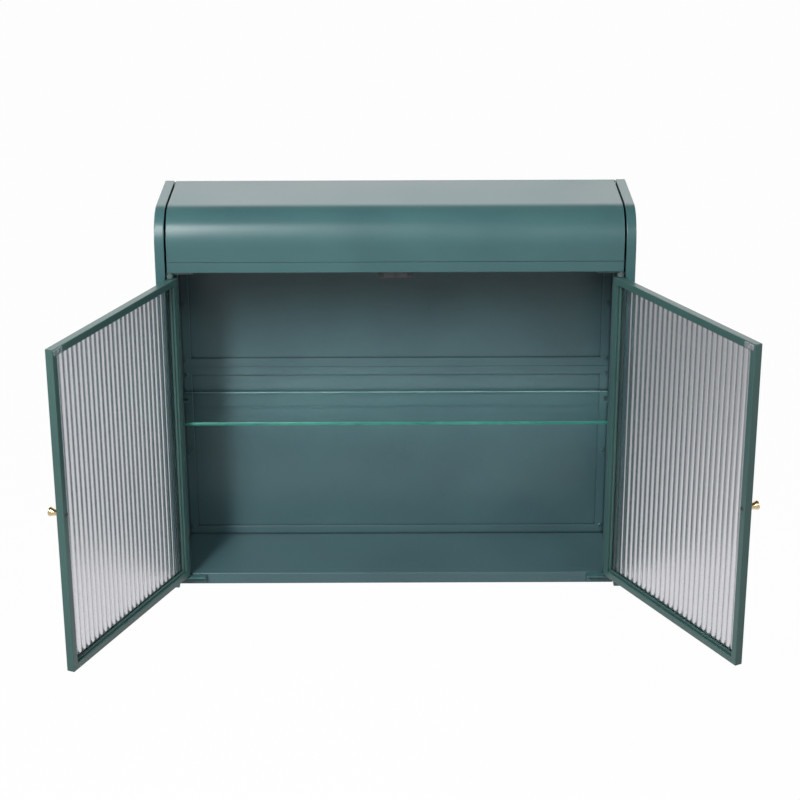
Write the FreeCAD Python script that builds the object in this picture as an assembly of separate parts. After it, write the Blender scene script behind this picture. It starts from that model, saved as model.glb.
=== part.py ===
"""Wall-hung medicine cabinet in folded sheet steel, with two fluted-glass doors.

Working frame: X to the right, Y from the front plane towards the wall, Z up
from the underside of the cabinet. The finished pieces are moved so that the
origin lies midway between the two wall bolts, on the plane of the wall.
"""
import FreeCAD, Part
import math
import os

# Cabinet envelope with the doors shut and the knobs left out
cabinet_width = 700.0
cabinet_height = 600.0
cabinet_depth = 180.0

# Folded sheet steel and the clearances used all over the cabinet
sheet = 1.2
fold_radius = 1.5
fit_gap = 0.3
overrun = 5.0
touch = 0.001

# Side panels, folded boxes with a rounded upper front corner
side_thickness = 14.5
crown_radius = 50.0
side_lip = 30.0

# Floor pan and ceiling pan
pan_height = 16.0
floor_setback = 14.0
floor_ledge_depth = 15.0
floor_ledge_rise = 1.6

# Curved top cover
cover_height = 73.5
cover_end_gap = 2.8
cover_seam = 0.6
cover_rear_flange = 15.0
cover_end_rim = 10.0

# Back panels with pressed fields
back_setback = 20.0
back_seam_rise = 41.0
back_seam_gap = 0.4
back_seam_lap = 9.0
back_border = 14.0
field_step = 3.0
field_round = 1.0
rear_angle_foot = 4.0

# Side liners, and the angles that stop the doors
liner_thickness = 1.5
stop_face = 15.0
stop_leg = 10.0
stop_round = 0.5

# Hanging rail and the two wall bolts
rail_thickness = 2.0
rail_tab = 28.0
wall_bolt_spacing = 500.0
wall_bolt_drop = 40.0
wall_bolt_hole_radius = 4.0

# Glass shelf on four pegs, halfway up the opening
shelf_thickness = 5.0
shelf_front = 30.0
shelf_rear_gap = 2.5
shelf_end_gap = 1.5
shelf_edge_round = 0.8
peg_radius = 2.5
peg_length = 9.0
peg_tail = 6.0
peg_collar_radius = 4.5
peg_collar = 1.2
peg_inset = 22.0
peg_fit = 0.05
sleeve_wall = 1.0
sleeve_end_gap = 0.5
shelf_seat_gap = 0.1

# Doors, inset between the side panels
door_thickness = 12.0
door_side_gap = 2.3
door_meeting_gap = 2.0
door_top_gap = 8.5
door_bottom_gap = 2.4
door_edge_round = 1.0
frame_face = 10.0
glazing_lip = 4.0
glazing_lip_thickness = 1.5

# Fluted glass and the beads that hold it
glass_thickness = 4.0
flute_height = 1.3
flute_count = 27
glass_edge_gap = 0.5
bead_size = 3.0
bead_round = 1.2
bead_gap = 0.2

# Corner pivots of the doors
pivot_inset = 4.2
pivot_depth = 3.2
pin_radius = 2.0
pin_seat_depth = 22.0
pin_fit = 0.05
pin_chamfer = 0.4
pin_end_gap = 0.3
bush_collar_radius = 5.0
bush_shank_radius = 3.5
bush_fit = 0.05
bush_running_gap = 0.3
bush_round = 0.8
hinge_plate_thickness = 2.0
hinge_plate_length = 40.0
hinge_plate_front = 0.6
hinge_plate_end_gap = 0.7
hinge_plate_stop_gap = 0.8
bracket_leg_foot = 2.0
hinge_screw_end = 6.0
hinge_screw_pitch = 13.0

# Door angles at which the cabinet is shown, measured from shut
left_open_angle = 114.0
right_open_angle = 118.7

# Flared brass knob
knob_length = 15.0
knob_edge_inset = 7.0
knob_base_radius = 5.2
knob_base = 1.6
knob_neck_radius = 4.3
knob_neck_length = 3.4
knob_flare_radius = 6.7
knob_rim = 1.8
knob_dome = 0.8

# Double magnetic catch and the strike plates it holds
catch_width = 52.0
catch_depth = 14.0
catch_height = 14.0
catch_setback = 14.0
catch_round = 1.2
magnet_width = 16.0
magnet_height = 8.0
magnet_depth = 4.0
magnet_proud = 0.4
magnet_gap = 2.4
magnet_fit = 0.1
magnet_drop = 2.4
catch_screw_end = 3.4
strike_length = 20.0
strike_height = 8.0
strike_thickness = 1.2
strike_end_inset = 2.5
strike_top_inset = 1.0
strike_round = 1.5

# Cross-recessed screws, pan-headed or countersunk
large_screw_radius = 2.0
small_screw_radius = 1.5
screw_hole_gap = 0.1
screw_grip = 3.0
head_radius_share = 1.75
head_height_share = 0.9
head_round_share = 0.6
recess_length_share = 1.9
recess_width_share = 0.45
recess_depth_share = 0.5
back_screw_edge = 13.0
back_screw_middle_share = 0.5
pan_screw_inset = 22.0
rail_screw_pitch = 30.0

# Places that follow from the sizes above
outer_x = cabinet_width / 2
inner_x = outer_x - side_thickness
carcass_x = inner_x - fit_gap
liner_x = inner_x - liner_thickness
stop_x = liner_x - stop_face
cover_x = inner_x - cover_end_gap
header_top = cabinet_height - cover_height
header_bottom = header_top - pan_height
cover_bottom = header_top + cover_seam
rail_front = cabinet_depth - rail_thickness
back_face = cabinet_depth - back_setback
back_rear = back_face + sheet
field_x = liner_x - back_border
stop_rear = floor_setback + liner_thickness
shelf_depth = back_face - shelf_rear_gap - shelf_front
shelf_top = (pan_height + header_bottom) / 2
shelf_low = shelf_top - shelf_thickness
back_seam_height = shelf_top + back_seam_rise
door_low = pan_height + door_bottom_gap
door_high = header_bottom - door_top_gap
door_middle = (door_low + door_high) / 2
hinge_edge = inner_x - door_side_gap
free_edge = door_meeting_gap / 2
pivot_x = hinge_edge - pivot_inset
glass_inner = glazing_lip_thickness + glass_thickness
bead_front = glass_inner + bead_gap
plate_low = header_bottom - hinge_plate_thickness
plate_rear = floor_setback - hinge_plate_stop_gap
knob_x = free_edge + knob_edge_inset
wall_bolt_height = cabinet_height - wall_bolt_drop
rail_low = header_top
rail_high = cabinet_height - sheet
border_middle_x = (field_x + inner_x) / 2
sides = {"left": -1, "right": 1}
wall_origin = FreeCAD.Vector(0, cabinet_depth, wall_bolt_height)


def vector(x, y, z):
    """Point or direction in the working frame."""
    return FreeCAD.Vector(x, y, z)


def block(x_span, y_span, z_span):
    """Rectangular solid between three pairs of coordinates."""
    spans = (x_span, y_span, z_span)
    sizes = [abs(high - low) for low, high in spans]
    corner = [min(span) for span in spans]
    return Part.makeBox(*sizes, vector(*corner))


def rod(radius, start, end):
    """Round bar between two points."""
    return Part.makeCylinder(radius, (end - start).Length, start, end - start)


def prism(points, sweep):
    """Straight-sided outline swept along a vector."""
    return Part.Face(Part.makePolygon(points + points[:1])).extrude(sweep)


def joined(shapes):
    """Several overlapping shapes as one solid with clean faces."""
    return shapes[0].multiFuse(shapes[1:]).removeSplitter()


def lies_at(edge, axis, place):
    """Whether an edge lies wholly in the plane where one coordinate has one value."""
    box = edge.BoundBox
    ends = (getattr(box, axis + "Min"), getattr(box, axis + "Max"))
    return all(abs(end - place) < touch for end in ends)


def edges_at(shape, *planes):
    """Edges that lie in all the given planes, each an axis and a place along it."""
    return [edge for edge in shape.Edges if all(lies_at(edge, *plane) for plane in planes)]


def rounded(shape, radius, *planes):
    """Shape with a fillet on the edges that lie in all the given planes."""
    return shape.makeFillet(radius, edges_at(shape, *planes))


def driven(head, seat, direction, length, radius):
    """Screw made of a head drawn about Z and a shank, set on its seat along direction."""
    top = head.BoundBox.ZMax
    reach = radius * recess_length_share / 2
    half = radius * recess_width_share / 2
    recess_floor = top - radius * recess_depth_share
    slots = [
        block((-reach, reach), (-half, half), (recess_floor, top)),
        block((-half, half), (-reach, reach), (recess_floor, top)),
    ]
    shank = Part.makeCylinder(radius, length, vector(0, 0, 0), vector(0, 0, -1))
    body = joined([head, shank]).cut(joined(slots))
    turn = FreeCAD.Rotation(vector(0, 0, 1), direction.negative())
    body.Placement = FreeCAD.Placement(seat, turn)
    return body


def screw(seat, direction, length, radius):
    """Pan-head screw whose head rests on seat and whose shank runs along direction."""
    head_height = radius * head_height_share
    head = Part.makeCylinder(radius * head_radius_share, head_height)
    head = rounded(head, radius * head_round_share, ("Z", head_height))
    return driven(head, seat, direction, length, radius)


def flush_screw(seat, direction, length, radius):
    """Countersunk screw whose head lies flush with seat."""
    head_radius = radius * head_radius_share
    sink = head_radius - radius
    head = Part.makeCone(head_radius, radius, sink, vector(0, 0, 0), vector(0, 0, -1))
    return driven(head, seat, direction, length, radius)


def screw_sink(seat, direction, radius):
    """Conical seat for the head of a countersunk screw."""
    head_radius = radius * head_radius_share
    wide = head_radius + screw_hole_gap
    return Part.makeCone(wide, radius + screw_hole_gap, head_radius - radius, seat, direction)


def screw_hole(seat, direction, length, radius):
    """Clearance hole for a screw, open at both ends."""
    along = FreeCAD.Vector(direction).normalize()
    start = seat - along * overrun
    return rod(radius + screw_hole_gap, start, seat + along * (length + screw_hole_gap))


def side_outline(inset):
    """Side profile in the plane X = 0, drawn in from the panel's edge by inset."""
    front = inset
    rear = cabinet_depth - inset
    low = inset
    high = cabinet_height - inset
    crown_height = cabinet_height - crown_radius
    reach = (crown_radius - inset) / math.sqrt(2)
    crown_middle = vector(0, crown_radius - reach, crown_height + reach)
    corners = [
        vector(0, front, crown_height),
        vector(0, front, low),
        vector(0, rear, low),
        vector(0, rear, high),
        vector(0, crown_radius, high),
    ]
    edges = [Part.makeLine(a, b) for a, b in zip(corners, corners[1:])]
    edges.append(Part.Arc(corners[-1], crown_middle, corners[0]).toShape())
    return Part.Face(Part.Wire(edges))


def pan_screw_places(side):
    """Seats and directions of the screws that tie the pans to one side panel."""
    flange_face = side * (carcass_x - sheet)
    outward = vector(side, 0, 0)
    depths = (pan_screw_inset, back_face - pan_screw_inset / 2)
    heights = (pan_height / 2, header_bottom + pan_height / 2)
    return [(vector(flange_face, y, z), outward) for y in depths for z in heights]


def rail_screw_places(side):
    """Seats and directions of the screws that tie the hanging rail to one side panel."""
    tab_face = side * (carcass_x - rail_thickness)
    depth_place = rail_front - rail_tab / 2
    middle = (rail_low + rail_high) / 2
    outward = vector(side, 0, 0)
    heights = (middle - rail_screw_pitch / 2, middle + rail_screw_pitch / 2)
    return [(vector(tab_face, depth_place, z), outward) for z in heights]


def wall_screw_length(thickness):
    """Shank length through a flange or tab, the fitting gap and the side panel's skin."""
    return thickness + fit_gap + sheet + screw_grip


def side_panel(side):
    """Folded box with a rounded crown and a window in its inner skin."""
    sweep = vector(side * side_thickness, 0, 0)
    panel = side_outline(0).extrude(sweep)
    panel = rounded(panel, fold_radius, ("X", side * side_thickness))
    panel = rounded(panel, fold_radius, ("X", 0))
    hollow = side_outline(sheet).extrude(vector(side * (side_thickness - 2 * sheet), 0, 0))
    hollow.translate(vector(side * sheet, 0, 0))
    window = block(
        (-side * overrun, side * (sheet + touch)),
        (side_lip, cabinet_depth - side_lip),
        (side_lip, cabinet_height - side_lip),
    )
    panel = panel.cut(joined([hollow, window]))
    panel.translate(vector(side * inner_x, 0, 0))
    holes = [
        screw_hole(seat, way, wall_screw_length(sheet), large_screw_radius)
        for seat, way in pan_screw_places(side)
    ]
    holes += [
        screw_hole(seat, way, wall_screw_length(rail_thickness), large_screw_radius)
        for seat, way in rail_screw_places(side)
    ]
    return panel.cut(holes)


def peg_places():
    """Distances from the front and heights of the shelf peg's axes."""
    depths = (shelf_front + peg_inset, shelf_front + shelf_depth - peg_inset)
    height = shelf_low - shelf_seat_gap - peg_radius - peg_fit - sleeve_wall
    return depths, height


def side_liner(side):
    """Flat inner wall with the holes of two shelf pegs."""
    liner = block((side * liner_x, side * inner_x), (stop_rear, back_face), (pan_height, header_bottom))
    depths, height = peg_places()
    holes = []
    for depth_place in depths:
        start = vector(side * (liner_x - overrun), depth_place, height)
        end = vector(side * (inner_x + overrun), depth_place, height)
        holes.append(rod(peg_radius + peg_fit, start, end))
    return liner.cut(holes)


def door_stop(side):
    """Upright angle that stops the shut door and trims the liner's front edge."""
    face = block(
        (side * stop_x, side * inner_x),
        (floor_setback, stop_rear),
        (pan_height, header_bottom),
    )
    leg = block(
        (side * (liner_x - liner_thickness), side * liner_x),
        (floor_setback, stop_rear + stop_leg),
        (pan_height, header_bottom),
    )
    stop = joined([face, leg])
    return rounded(stop, stop_round, ("X", side * stop_x), ("Y", floor_setback))


def ceiling_pan():
    """Tray whose front flange shows as the header band above the doors."""
    plate_top = header_bottom + sheet
    rise = (header_bottom, header_top)
    back = (back_face - sheet, back_face)
    shapes = [
        block((-cover_x, cover_x), (0, stop_rear), (header_bottom, plate_top)),
        block((-carcass_x, carcass_x), (floor_setback, back_face), (header_bottom, plate_top)),
        block((-cover_x, cover_x), (0, sheet), rise),
        block((-carcass_x, carcass_x), back, rise),
    ]
    for side in sides.values():
        flange = (side * (carcass_x - sheet), side * carcass_x)
        shapes.append(block(flange, (floor_setback, back_face), rise))
    pan = rounded(joined(shapes), fold_radius, ("Y", 0), ("Z", header_bottom))
    holes = [screw_hole(*place, sheet, large_screw_radius) for place in pan_holes(header_bottom)]
    holes += [
        screw_hole(*place, hinge_screw_length(), small_screw_radius)
        for side in sides.values()
        for place in upper_hinge_screw_places(side)
    ]
    holes += [
        screw_hole(*place, catch_screw_length(), small_screw_radius)
        for place in catch_screw_places()
    ]
    return pan.cut(holes)


def pan_holes(low):
    """Screw places of both sides that lie within the pan standing at height low."""
    places = [place for side in sides.values() for place in pan_screw_places(side)]
    return [place for place in places if low < place[0].z < low + pan_height]


def floor_pan():
    """Upturned tray with a slightly raised ledge along its front edge."""
    rise = (0, pan_height)
    ledge_x = stop_x - fit_gap
    ledge_top = pan_height + floor_ledge_rise
    shapes = [
        block((-carcass_x, carcass_x), (floor_setback, back_face), (pan_height - sheet, pan_height)),
        block((-carcass_x, carcass_x), (floor_setback, floor_setback + sheet), rise),
        block((-carcass_x, carcass_x), (back_face - sheet, back_face), rise),
        block(
            (-ledge_x, ledge_x),
            (floor_setback, floor_setback + floor_ledge_depth),
            (pan_height - sheet, ledge_top),
        ),
    ]
    for side in sides.values():
        flange = (side * (carcass_x - sheet), side * carcass_x)
        shapes.append(block(flange, (floor_setback, back_face), rise))
    pan = rounded(joined(shapes), fold_radius, ("Y", floor_setback), ("Z", ledge_top))
    pan = rounded(pan, floor_ledge_rise / 2, ("Y", floor_setback + floor_ledge_depth), ("Z", ledge_top))
    holes = [screw_hole(*place, sheet, large_screw_radius) for place in pan_holes(0)]
    holes += [
        screw_hole(*place, hinge_screw_length(), small_screw_radius)
        for side in sides.values()
        for place in lower_hinge_screw_places(side)
    ]
    return pan.cut(holes)


def cover_band(outer_inset, inner_inset, foot):
    """Section of the cover's sheet between two depths below its outer surface."""
    rear = rail_front
    crown_height = cabinet_height - crown_radius
    turns = []
    for inset in (outer_inset, inner_inset):
        reach = (crown_radius - inset) / math.sqrt(2)
        turns.append(
            {
                "foot": vector(0, inset, foot),
                "spring": vector(0, inset, crown_height),
                "middle": vector(0, crown_radius - reach, crown_height + reach),
                "crown": vector(0, crown_radius, cabinet_height - inset),
                "rear": vector(0, rear, cabinet_height - inset),
            }
        )
    outer, inner = turns
    edges = [
        Part.makeLine(outer["foot"], outer["spring"]),
        Part.Arc(outer["spring"], outer["middle"], outer["crown"]).toShape(),
        Part.makeLine(outer["crown"], outer["rear"]),
        Part.makeLine(outer["rear"], inner["rear"]),
        Part.makeLine(inner["rear"], inner["crown"]),
        Part.Arc(inner["crown"], inner["middle"], inner["spring"]).toShape(),
        Part.makeLine(inner["spring"], inner["foot"]),
        Part.makeLine(inner["foot"], outer["foot"]),
    ]
    return Part.Face(Part.Wire(edges))


def top_cover():
    """Curved sheet from the header seam over the crown to the wall, rimmed at both ends."""
    skin = cover_band(0, sheet, cover_bottom).extrude(vector(2 * cover_x, 0, 0))
    skin.translate(vector(-cover_x, 0, 0))
    flange = block(
        (-cover_x, cover_x),
        (rail_front - sheet, rail_front),
        (cabinet_height - cover_rear_flange, cabinet_height),
    )
    shapes = [skin, flange]
    for side in sides.values():
        rim = cover_band(sheet / 2, sheet + cover_end_rim, cover_bottom).extrude(vector(sheet, 0, 0))
        rim.translate(vector(min(side * cover_x, side * (cover_x - sheet)), 0, 0))
        shapes.append(rim)
    return joined(shapes)


def hanging_rail():
    """Steel channel behind the cover that carries the cabinet on two wall bolts."""
    web = block((-carcass_x, carcass_x), (rail_front, cabinet_depth), (rail_low, rail_high))
    shapes = [web]
    for side in sides.values():
        tab = (side * (carcass_x - rail_thickness), side * carcass_x)
        tab_top = cabinet_height - sheet - cover_end_rim - fit_gap
        shapes.append(block(tab, (rail_front - rail_tab, cabinet_depth), (rail_low, tab_top)))
    rail = joined(shapes)
    holes = []
    for side in sides.values():
        bolt_x = side * wall_bolt_spacing / 2
        start = vector(bolt_x, rail_front - overrun, wall_bolt_height)
        end = vector(bolt_x, cabinet_depth + overrun, wall_bolt_height)
        holes.append(rod(wall_bolt_hole_radius, start, end))
        holes += [
            screw_hole(*place, rail_thickness, large_screw_radius)
            for place in rail_screw_places(side)
        ]
    return rail.cut(holes)


def back_screw_heights():
    """Heights of the back panel screws, lower panel first."""
    rows = []
    for low, high in (
        (pan_height, back_seam_height),
        (back_seam_height, header_bottom),
    ):
        middle = low + (high - low) * back_screw_middle_share
        rows += [low + back_screw_edge, middle, high - back_screw_edge]
    return rows


def back_screw_places():
    """Seats and directions of the screws along both edges of the back panels."""
    into = vector(0, 1, 0)
    return [
        (vector(side * border_middle_x, back_face, height), into)
        for side in sides.values()
        for height in back_screw_heights()
    ]


def back_panel(low, high, field_low, field_high):
    """Sheet with a field pressed towards the wall inside a flat border."""
    field_rear = back_face + field_step
    border = block((-carcass_x, carcass_x), (back_face, back_rear), (low, high))
    tray = block(
        (-field_x - sheet, field_x + sheet),
        (back_face, field_rear + sheet),
        (field_low - sheet, field_high + sheet),
    )
    pocket = block(
        (-field_x, field_x),
        (back_face - overrun, field_rear),
        (field_low, field_high),
    )
    panel = joined([border, tray]).cut(pocket)
    front_edges = edges_at(panel, ("Y", back_face))
    reach = field_x + touch
    mouth = [edge for edge in front_edges if max(edge.BoundBox.XMax, -edge.BoundBox.XMin) <= reach]
    panel = panel.makeFillet(field_round, mouth)
    holes = [screw_hole(*place, sheet, large_screw_radius) for place in back_screw_places()]
    return panel.cut(holes)


def lower_back_panel():
    """Back panel from the underside of the cabinet to the seam, with a lap behind the seam."""
    top = back_seam_height - back_seam_gap / 2
    panel = back_panel(0, top, pan_height + back_border, back_seam_height - back_border)
    across = (-field_x - sheet, field_x + sheet)
    foot = block(across, (back_rear, back_rear + sheet + fit_gap), (top - back_seam_lap, top))
    tongue = block(
        across,
        (back_rear + fit_gap, back_rear + fit_gap + sheet),
        (top, back_seam_height + back_seam_lap),
    )
    return joined([panel, foot, tongue])


def upper_back_panel():
    """Back panel from the seam to the ceiling, folded back under the hanging rail."""
    panel = back_panel(
        back_seam_height + back_seam_gap / 2,
        header_top,
        back_seam_height + back_border,
        header_bottom - back_border,
    )
    fold = block(
        (-carcass_x, carcass_x),
        (back_face, cabinet_depth - fit_gap),
        (header_top - sheet, header_top),
    )
    return joined([panel, fold])


def rear_angle(side):
    """Upright angle that joins the back panels to one side panel."""
    height_span = (rear_angle_foot, header_top - sheet - fit_gap)
    wing_x = field_x + sheet + fit_gap
    wing = block((side * wing_x, side * carcass_x), (back_rear, back_rear + sheet), height_span)
    leg = block(
        (side * (carcass_x - sheet), side * carcass_x),
        (back_rear, cabinet_depth - fit_gap),
        height_span,
    )
    holes = [screw_hole(*place, 2 * sheet, large_screw_radius) for place in back_screw_places()]
    return joined([wing, leg]).cut(holes)


def back_panel_screws():
    """Screws that hold the back panels to the rear angles."""
    length = 2 * sheet + screw_grip
    return [screw(*place, length, large_screw_radius) for place in back_screw_places()]


def pan_screws():
    """Screws that hold the floor pan and the ceiling pan to the side panels."""
    length = wall_screw_length(sheet)
    places = [place for side in sides.values() for place in pan_screw_places(side)]
    return [screw(*place, length, large_screw_radius) for place in places]


def rail_screws():
    """Screws that hold the hanging rail to the side panels."""
    length = wall_screw_length(rail_thickness)
    places = [place for side in sides.values() for place in rail_screw_places(side)]
    return [screw(*place, length, large_screw_radius) for place in places]


def glass_shelf():
    """Loose glass shelf with softened edges."""
    reach = liner_x - shelf_end_gap
    shelf = block(
        (-reach, reach),
        (shelf_front, shelf_front + shelf_depth),
        (shelf_low, shelf_top),
    )
    return shelf.makeChamfer(shelf_edge_round, shelf.Edges)


def shelf_pegs():
    """Pegs with a collar against the liner and a tail through its hole."""
    depths, height = peg_places()
    pegs = []
    for side in sides.values():
        for depth_place in depths:
            tail = vector(side * (inner_x + peg_tail), depth_place, height)
            face = vector(side * liner_x, depth_place, height)
            collar_face = vector(side * (liner_x - peg_collar), depth_place, height)
            tip = vector(side * (liner_x - peg_collar - peg_length), depth_place, height)
            collar = rod(peg_collar_radius, face, collar_face)
            pegs.append(joined([rod(peg_radius, tail, tip), collar]))
    return pegs


def shelf_sleeves():
    """Soft sleeves on the pegs, which keep the glass off the metal."""
    depths, height = peg_places()
    sleeves = []
    for side in sides.values():
        for depth_place in depths:
            root_x = liner_x - peg_collar - touch
            tip_x = liner_x - peg_collar - peg_length + sleeve_end_gap
            root = vector(side * root_x, depth_place, height)
            tip = vector(side * tip_x, depth_place, height)
            bore = rod(peg_radius + peg_fit, root, tip)
            sleeves.append(rod(peg_radius + peg_fit + sleeve_wall, root, tip).cut(bore))
    return sleeves


def catch_screw_places():
    """Seats and directions of the two screws that hold the catch under the ceiling."""
    seat_x = catch_width / 2 - catch_screw_end
    seat_y = catch_setback + catch_depth / 2
    upward = vector(0, 0, 1)
    low = header_bottom - catch_height
    return [(vector(side * seat_x, seat_y, low), upward) for side in sides.values()]


def catch_screw_length():
    """Shank length through the catch and the ceiling sheet."""
    return catch_height + sheet + screw_grip


def magnet_box(side, gap):
    """One magnet of the catch, or with a gap the pocket that holds it."""
    near = magnet_gap / 2 - gap
    far = magnet_gap / 2 + magnet_width + gap
    low = header_bottom - catch_height + magnet_drop
    return block(
        (side * near, side * far),
        (catch_setback - magnet_proud - gap, catch_setback - magnet_proud + magnet_depth + gap),
        (low - gap, low + magnet_height + gap),
    )


def catch_body():
    """Moulded housing of the double magnetic catch."""
    body = block(
        (-catch_width / 2, catch_width / 2),
        (catch_setback, catch_setback + catch_depth),
        (header_bottom - catch_height, header_bottom),
    )
    body = rounded(body, catch_round, ("Z", header_bottom - catch_height))
    pockets = [magnet_box(side, magnet_fit) for side in sides.values()]
    holes = [
        screw_hole(*place, catch_screw_length(), small_screw_radius)
        for place in catch_screw_places()
    ]
    return body.cut(pockets + holes)


def catch_magnets():
    """Two magnets, one for each door."""
    return [magnet_box(side, 0) for side in sides.values()]


def catch_screws():
    """Screws that hold the catch to the ceiling pan."""
    return [
        screw(*place, catch_screw_length(), small_screw_radius)
        for place in catch_screw_places()
    ]


def hinge_plate_span(side):
    """Inner and outer ends of a hinge plate along X."""
    end_x = inner_x - hinge_plate_end_gap
    return side * (end_x - hinge_plate_length), side * end_x


def hinge_screw_xs(side):
    """Distances along X of the two screws of a hinge plate."""
    first = abs(hinge_plate_span(side)[0]) + hinge_screw_end
    return side * first, side * (first + hinge_screw_pitch)


def hinge_screw_length():
    """Shank length through a hinge plate and the pan it is fixed to."""
    return hinge_plate_thickness + sheet + screw_grip


def upper_hinge_screw_places(side):
    """Seats and directions of the screws of an upper hinge plate."""
    seat_y = (hinge_plate_front + plate_rear) / 2
    upward = vector(0, 0, 1)
    return [(vector(x, seat_y, plate_low), upward) for x in hinge_screw_xs(side)]


def lower_hinge_screw_places(side):
    """Seats and directions of the screws of a lower hinge bracket."""
    seat_y = floor_setback - hinge_plate_thickness
    into = vector(0, 1, 0)
    height = pan_height / 2
    return [(vector(x, seat_y, height), into) for x in hinge_screw_xs(side)]


def pivot_line(side, low, high):
    """Ends of a stretch of one door's pivot axis."""
    return (
        vector(side * pivot_x, pivot_depth, low),
        vector(side * pivot_x, pivot_depth, high),
    )


def upper_hinge_plate(side):
    """Flat strip under the ceiling that carries the upper bush."""
    plate = block(hinge_plate_span(side), (hinge_plate_front, plate_rear), (plate_low, header_bottom))
    seat = rod(bush_shank_radius + bush_fit, *pivot_line(side, plate_low - overrun, header_bottom + overrun))
    holes = [
        screw_hole(*place, hinge_screw_length(), small_screw_radius)
        for place in upper_hinge_screw_places(side)
    ]
    return plate.cut([seat] + holes)


def lower_hinge_bracket(side):
    """Angle on the front of the floor pan that carries the lower bush."""
    span = hinge_plate_span(side)
    low = pan_height - hinge_plate_thickness
    tongue = block(span, (hinge_plate_front, floor_setback), (low, pan_height))
    leg = block(
        span,
        (floor_setback - hinge_plate_thickness, floor_setback),
        (bracket_leg_foot, pan_height),
    )
    seat = rod(bush_shank_radius + bush_fit, *pivot_line(side, low - overrun, pan_height + overrun))
    holes = [
        screw_hole(*place, hinge_screw_length(), small_screw_radius)
        for place in lower_hinge_screw_places(side)
    ]
    return joined([tongue, leg]).cut([seat] + holes)


def bush(side, seat, collar_end, shank_end):
    """Collared bush between a hinge plate at height seat and the door's edge."""
    collar = rod(bush_collar_radius, *pivot_line(side, seat, collar_end))
    collar = rounded(collar, bush_round, ("Z", collar_end))
    shank = rod(bush_shank_radius, *pivot_line(side, seat, shank_end))
    low = min(collar_end, shank_end)
    high = max(collar_end, shank_end)
    bore = rod(pin_radius + pin_fit, *pivot_line(side, low - overrun, high + overrun))
    return joined([collar, shank]).cut(bore)


def upper_bushes():
    """Bushes between the doors' upper edges and the upper hinge plates."""
    collar_end = door_high + bush_running_gap
    return [bush(side, plate_low, collar_end, header_bottom) for side in sides.values()]


def lower_bushes():
    """Bushes that the doors' lower edges ride on."""
    collar_end = door_low - bush_running_gap
    shank_end = pan_height - hinge_plate_thickness
    return [bush(side, pan_height, collar_end, shank_end) for side in sides.values()]


def hinge_screws():
    """Screws of all four hinge plates."""
    places = []
    for side in sides.values():
        places += upper_hinge_screw_places(side)
        places += lower_hinge_screw_places(side)
    return [screw(*place, hinge_screw_length(), small_screw_radius) for place in places]


def pin_span(end):
    """Lower and upper end of the pin at one end of a door."""
    if end == "top":
        return door_high - pin_seat_depth, header_bottom - pin_end_gap
    return pan_height - hinge_plate_thickness + pin_end_gap, door_low + pin_seat_depth


def pivot_pin(side, end):
    """Steel pin set into the corner of a door."""
    low, high = pin_span(end)
    pin = rod(pin_radius, *pivot_line(side, low, high))
    ends = edges_at(pin, ("Z", low)) + edges_at(pin, ("Z", high))
    return pin.makeChamfer(pin_chamfer, ends)


def knob_screw_place(side):
    """Seat and direction of the screw that holds a knob from inside the door."""
    return vector(side * knob_x, door_thickness, door_middle), vector(0, -1, 0)


def knob_screw_length():
    """Shank length through the free stile and into the knob."""
    return door_thickness + knob_length / 2


def strike_screw_place(side):
    """Seat, in the middle of a strike plate's face, and direction of its screw."""
    middle_x = free_edge + strike_end_inset + strike_length / 2
    middle_z = door_high - strike_top_inset - strike_height / 2
    seat = vector(side * middle_x, door_thickness + strike_thickness, middle_z)
    return seat, vector(0, -1, 0)


def strike_screw_length():
    """Shank length through the strike plate and half of the door."""
    return strike_thickness + door_thickness / 2


def door_frame(side):
    """Whole door frame with its glazing rebate and its bores, before it is mitred."""
    x_span = (side * hinge_edge, side * free_edge)
    frame = block(x_span, (0, door_thickness), (door_low, door_high))
    frame = frame.makeFillet(door_edge_round, frame.Edges)
    sight = frame_face + glazing_lip
    rebate = block(
        (side * (hinge_edge - frame_face), side * (free_edge + frame_face)),
        (glazing_lip_thickness, door_thickness + overrun),
        (door_low + frame_face, door_high - frame_face),
    )
    daylight = block(
        (side * (hinge_edge - sight), side * (free_edge + sight)),
        (-overrun, door_thickness),
        (door_low + sight, door_high - sight),
    )
    bores = [rod(pin_radius + pin_fit, *pivot_line(side, *pin_span(end))) for end in ("top", "bottom")]
    bores.append(screw_hole(*knob_screw_place(side), door_thickness + overrun, small_screw_radius))
    bores.append(screw_hole(*strike_screw_place(side), strike_screw_length(), small_screw_radius))
    return frame.cut([rebate, daylight] + bores)


def door_members(side):
    """Two rails and two stiles, cut from the frame along its corner mitres."""
    frame = door_frame(side)
    reach = frame_face + glazing_lip + fit_gap
    hinge_x = side * hinge_edge
    free_x = side * free_edge
    hinge_in = side * (hinge_edge - reach)
    free_in = side * (free_edge + reach)
    low_in = door_low + reach
    high_in = door_high - reach
    outlines = {
        "top_rail": ((hinge_x, door_high), (free_x, door_high), (free_in, high_in), (hinge_in, high_in)),
        "bottom_rail": ((hinge_x, door_low), (free_x, door_low), (free_in, low_in), (hinge_in, low_in)),
        "hinge_stile": ((hinge_x, door_low), (hinge_x, door_high), (hinge_in, high_in), (hinge_in, low_in)),
        "free_stile": ((free_x, door_low), (free_x, door_high), (free_in, high_in), (free_in, low_in)),
    }
    members = {}
    for name, outline in outlines.items():
        points = [vector(x, -overrun, z) for x, z in outline]
        wedge = prism(points, vector(0, door_thickness + 2 * overrun, 0))
        members[name] = frame.common(wedge)
    return members


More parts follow.
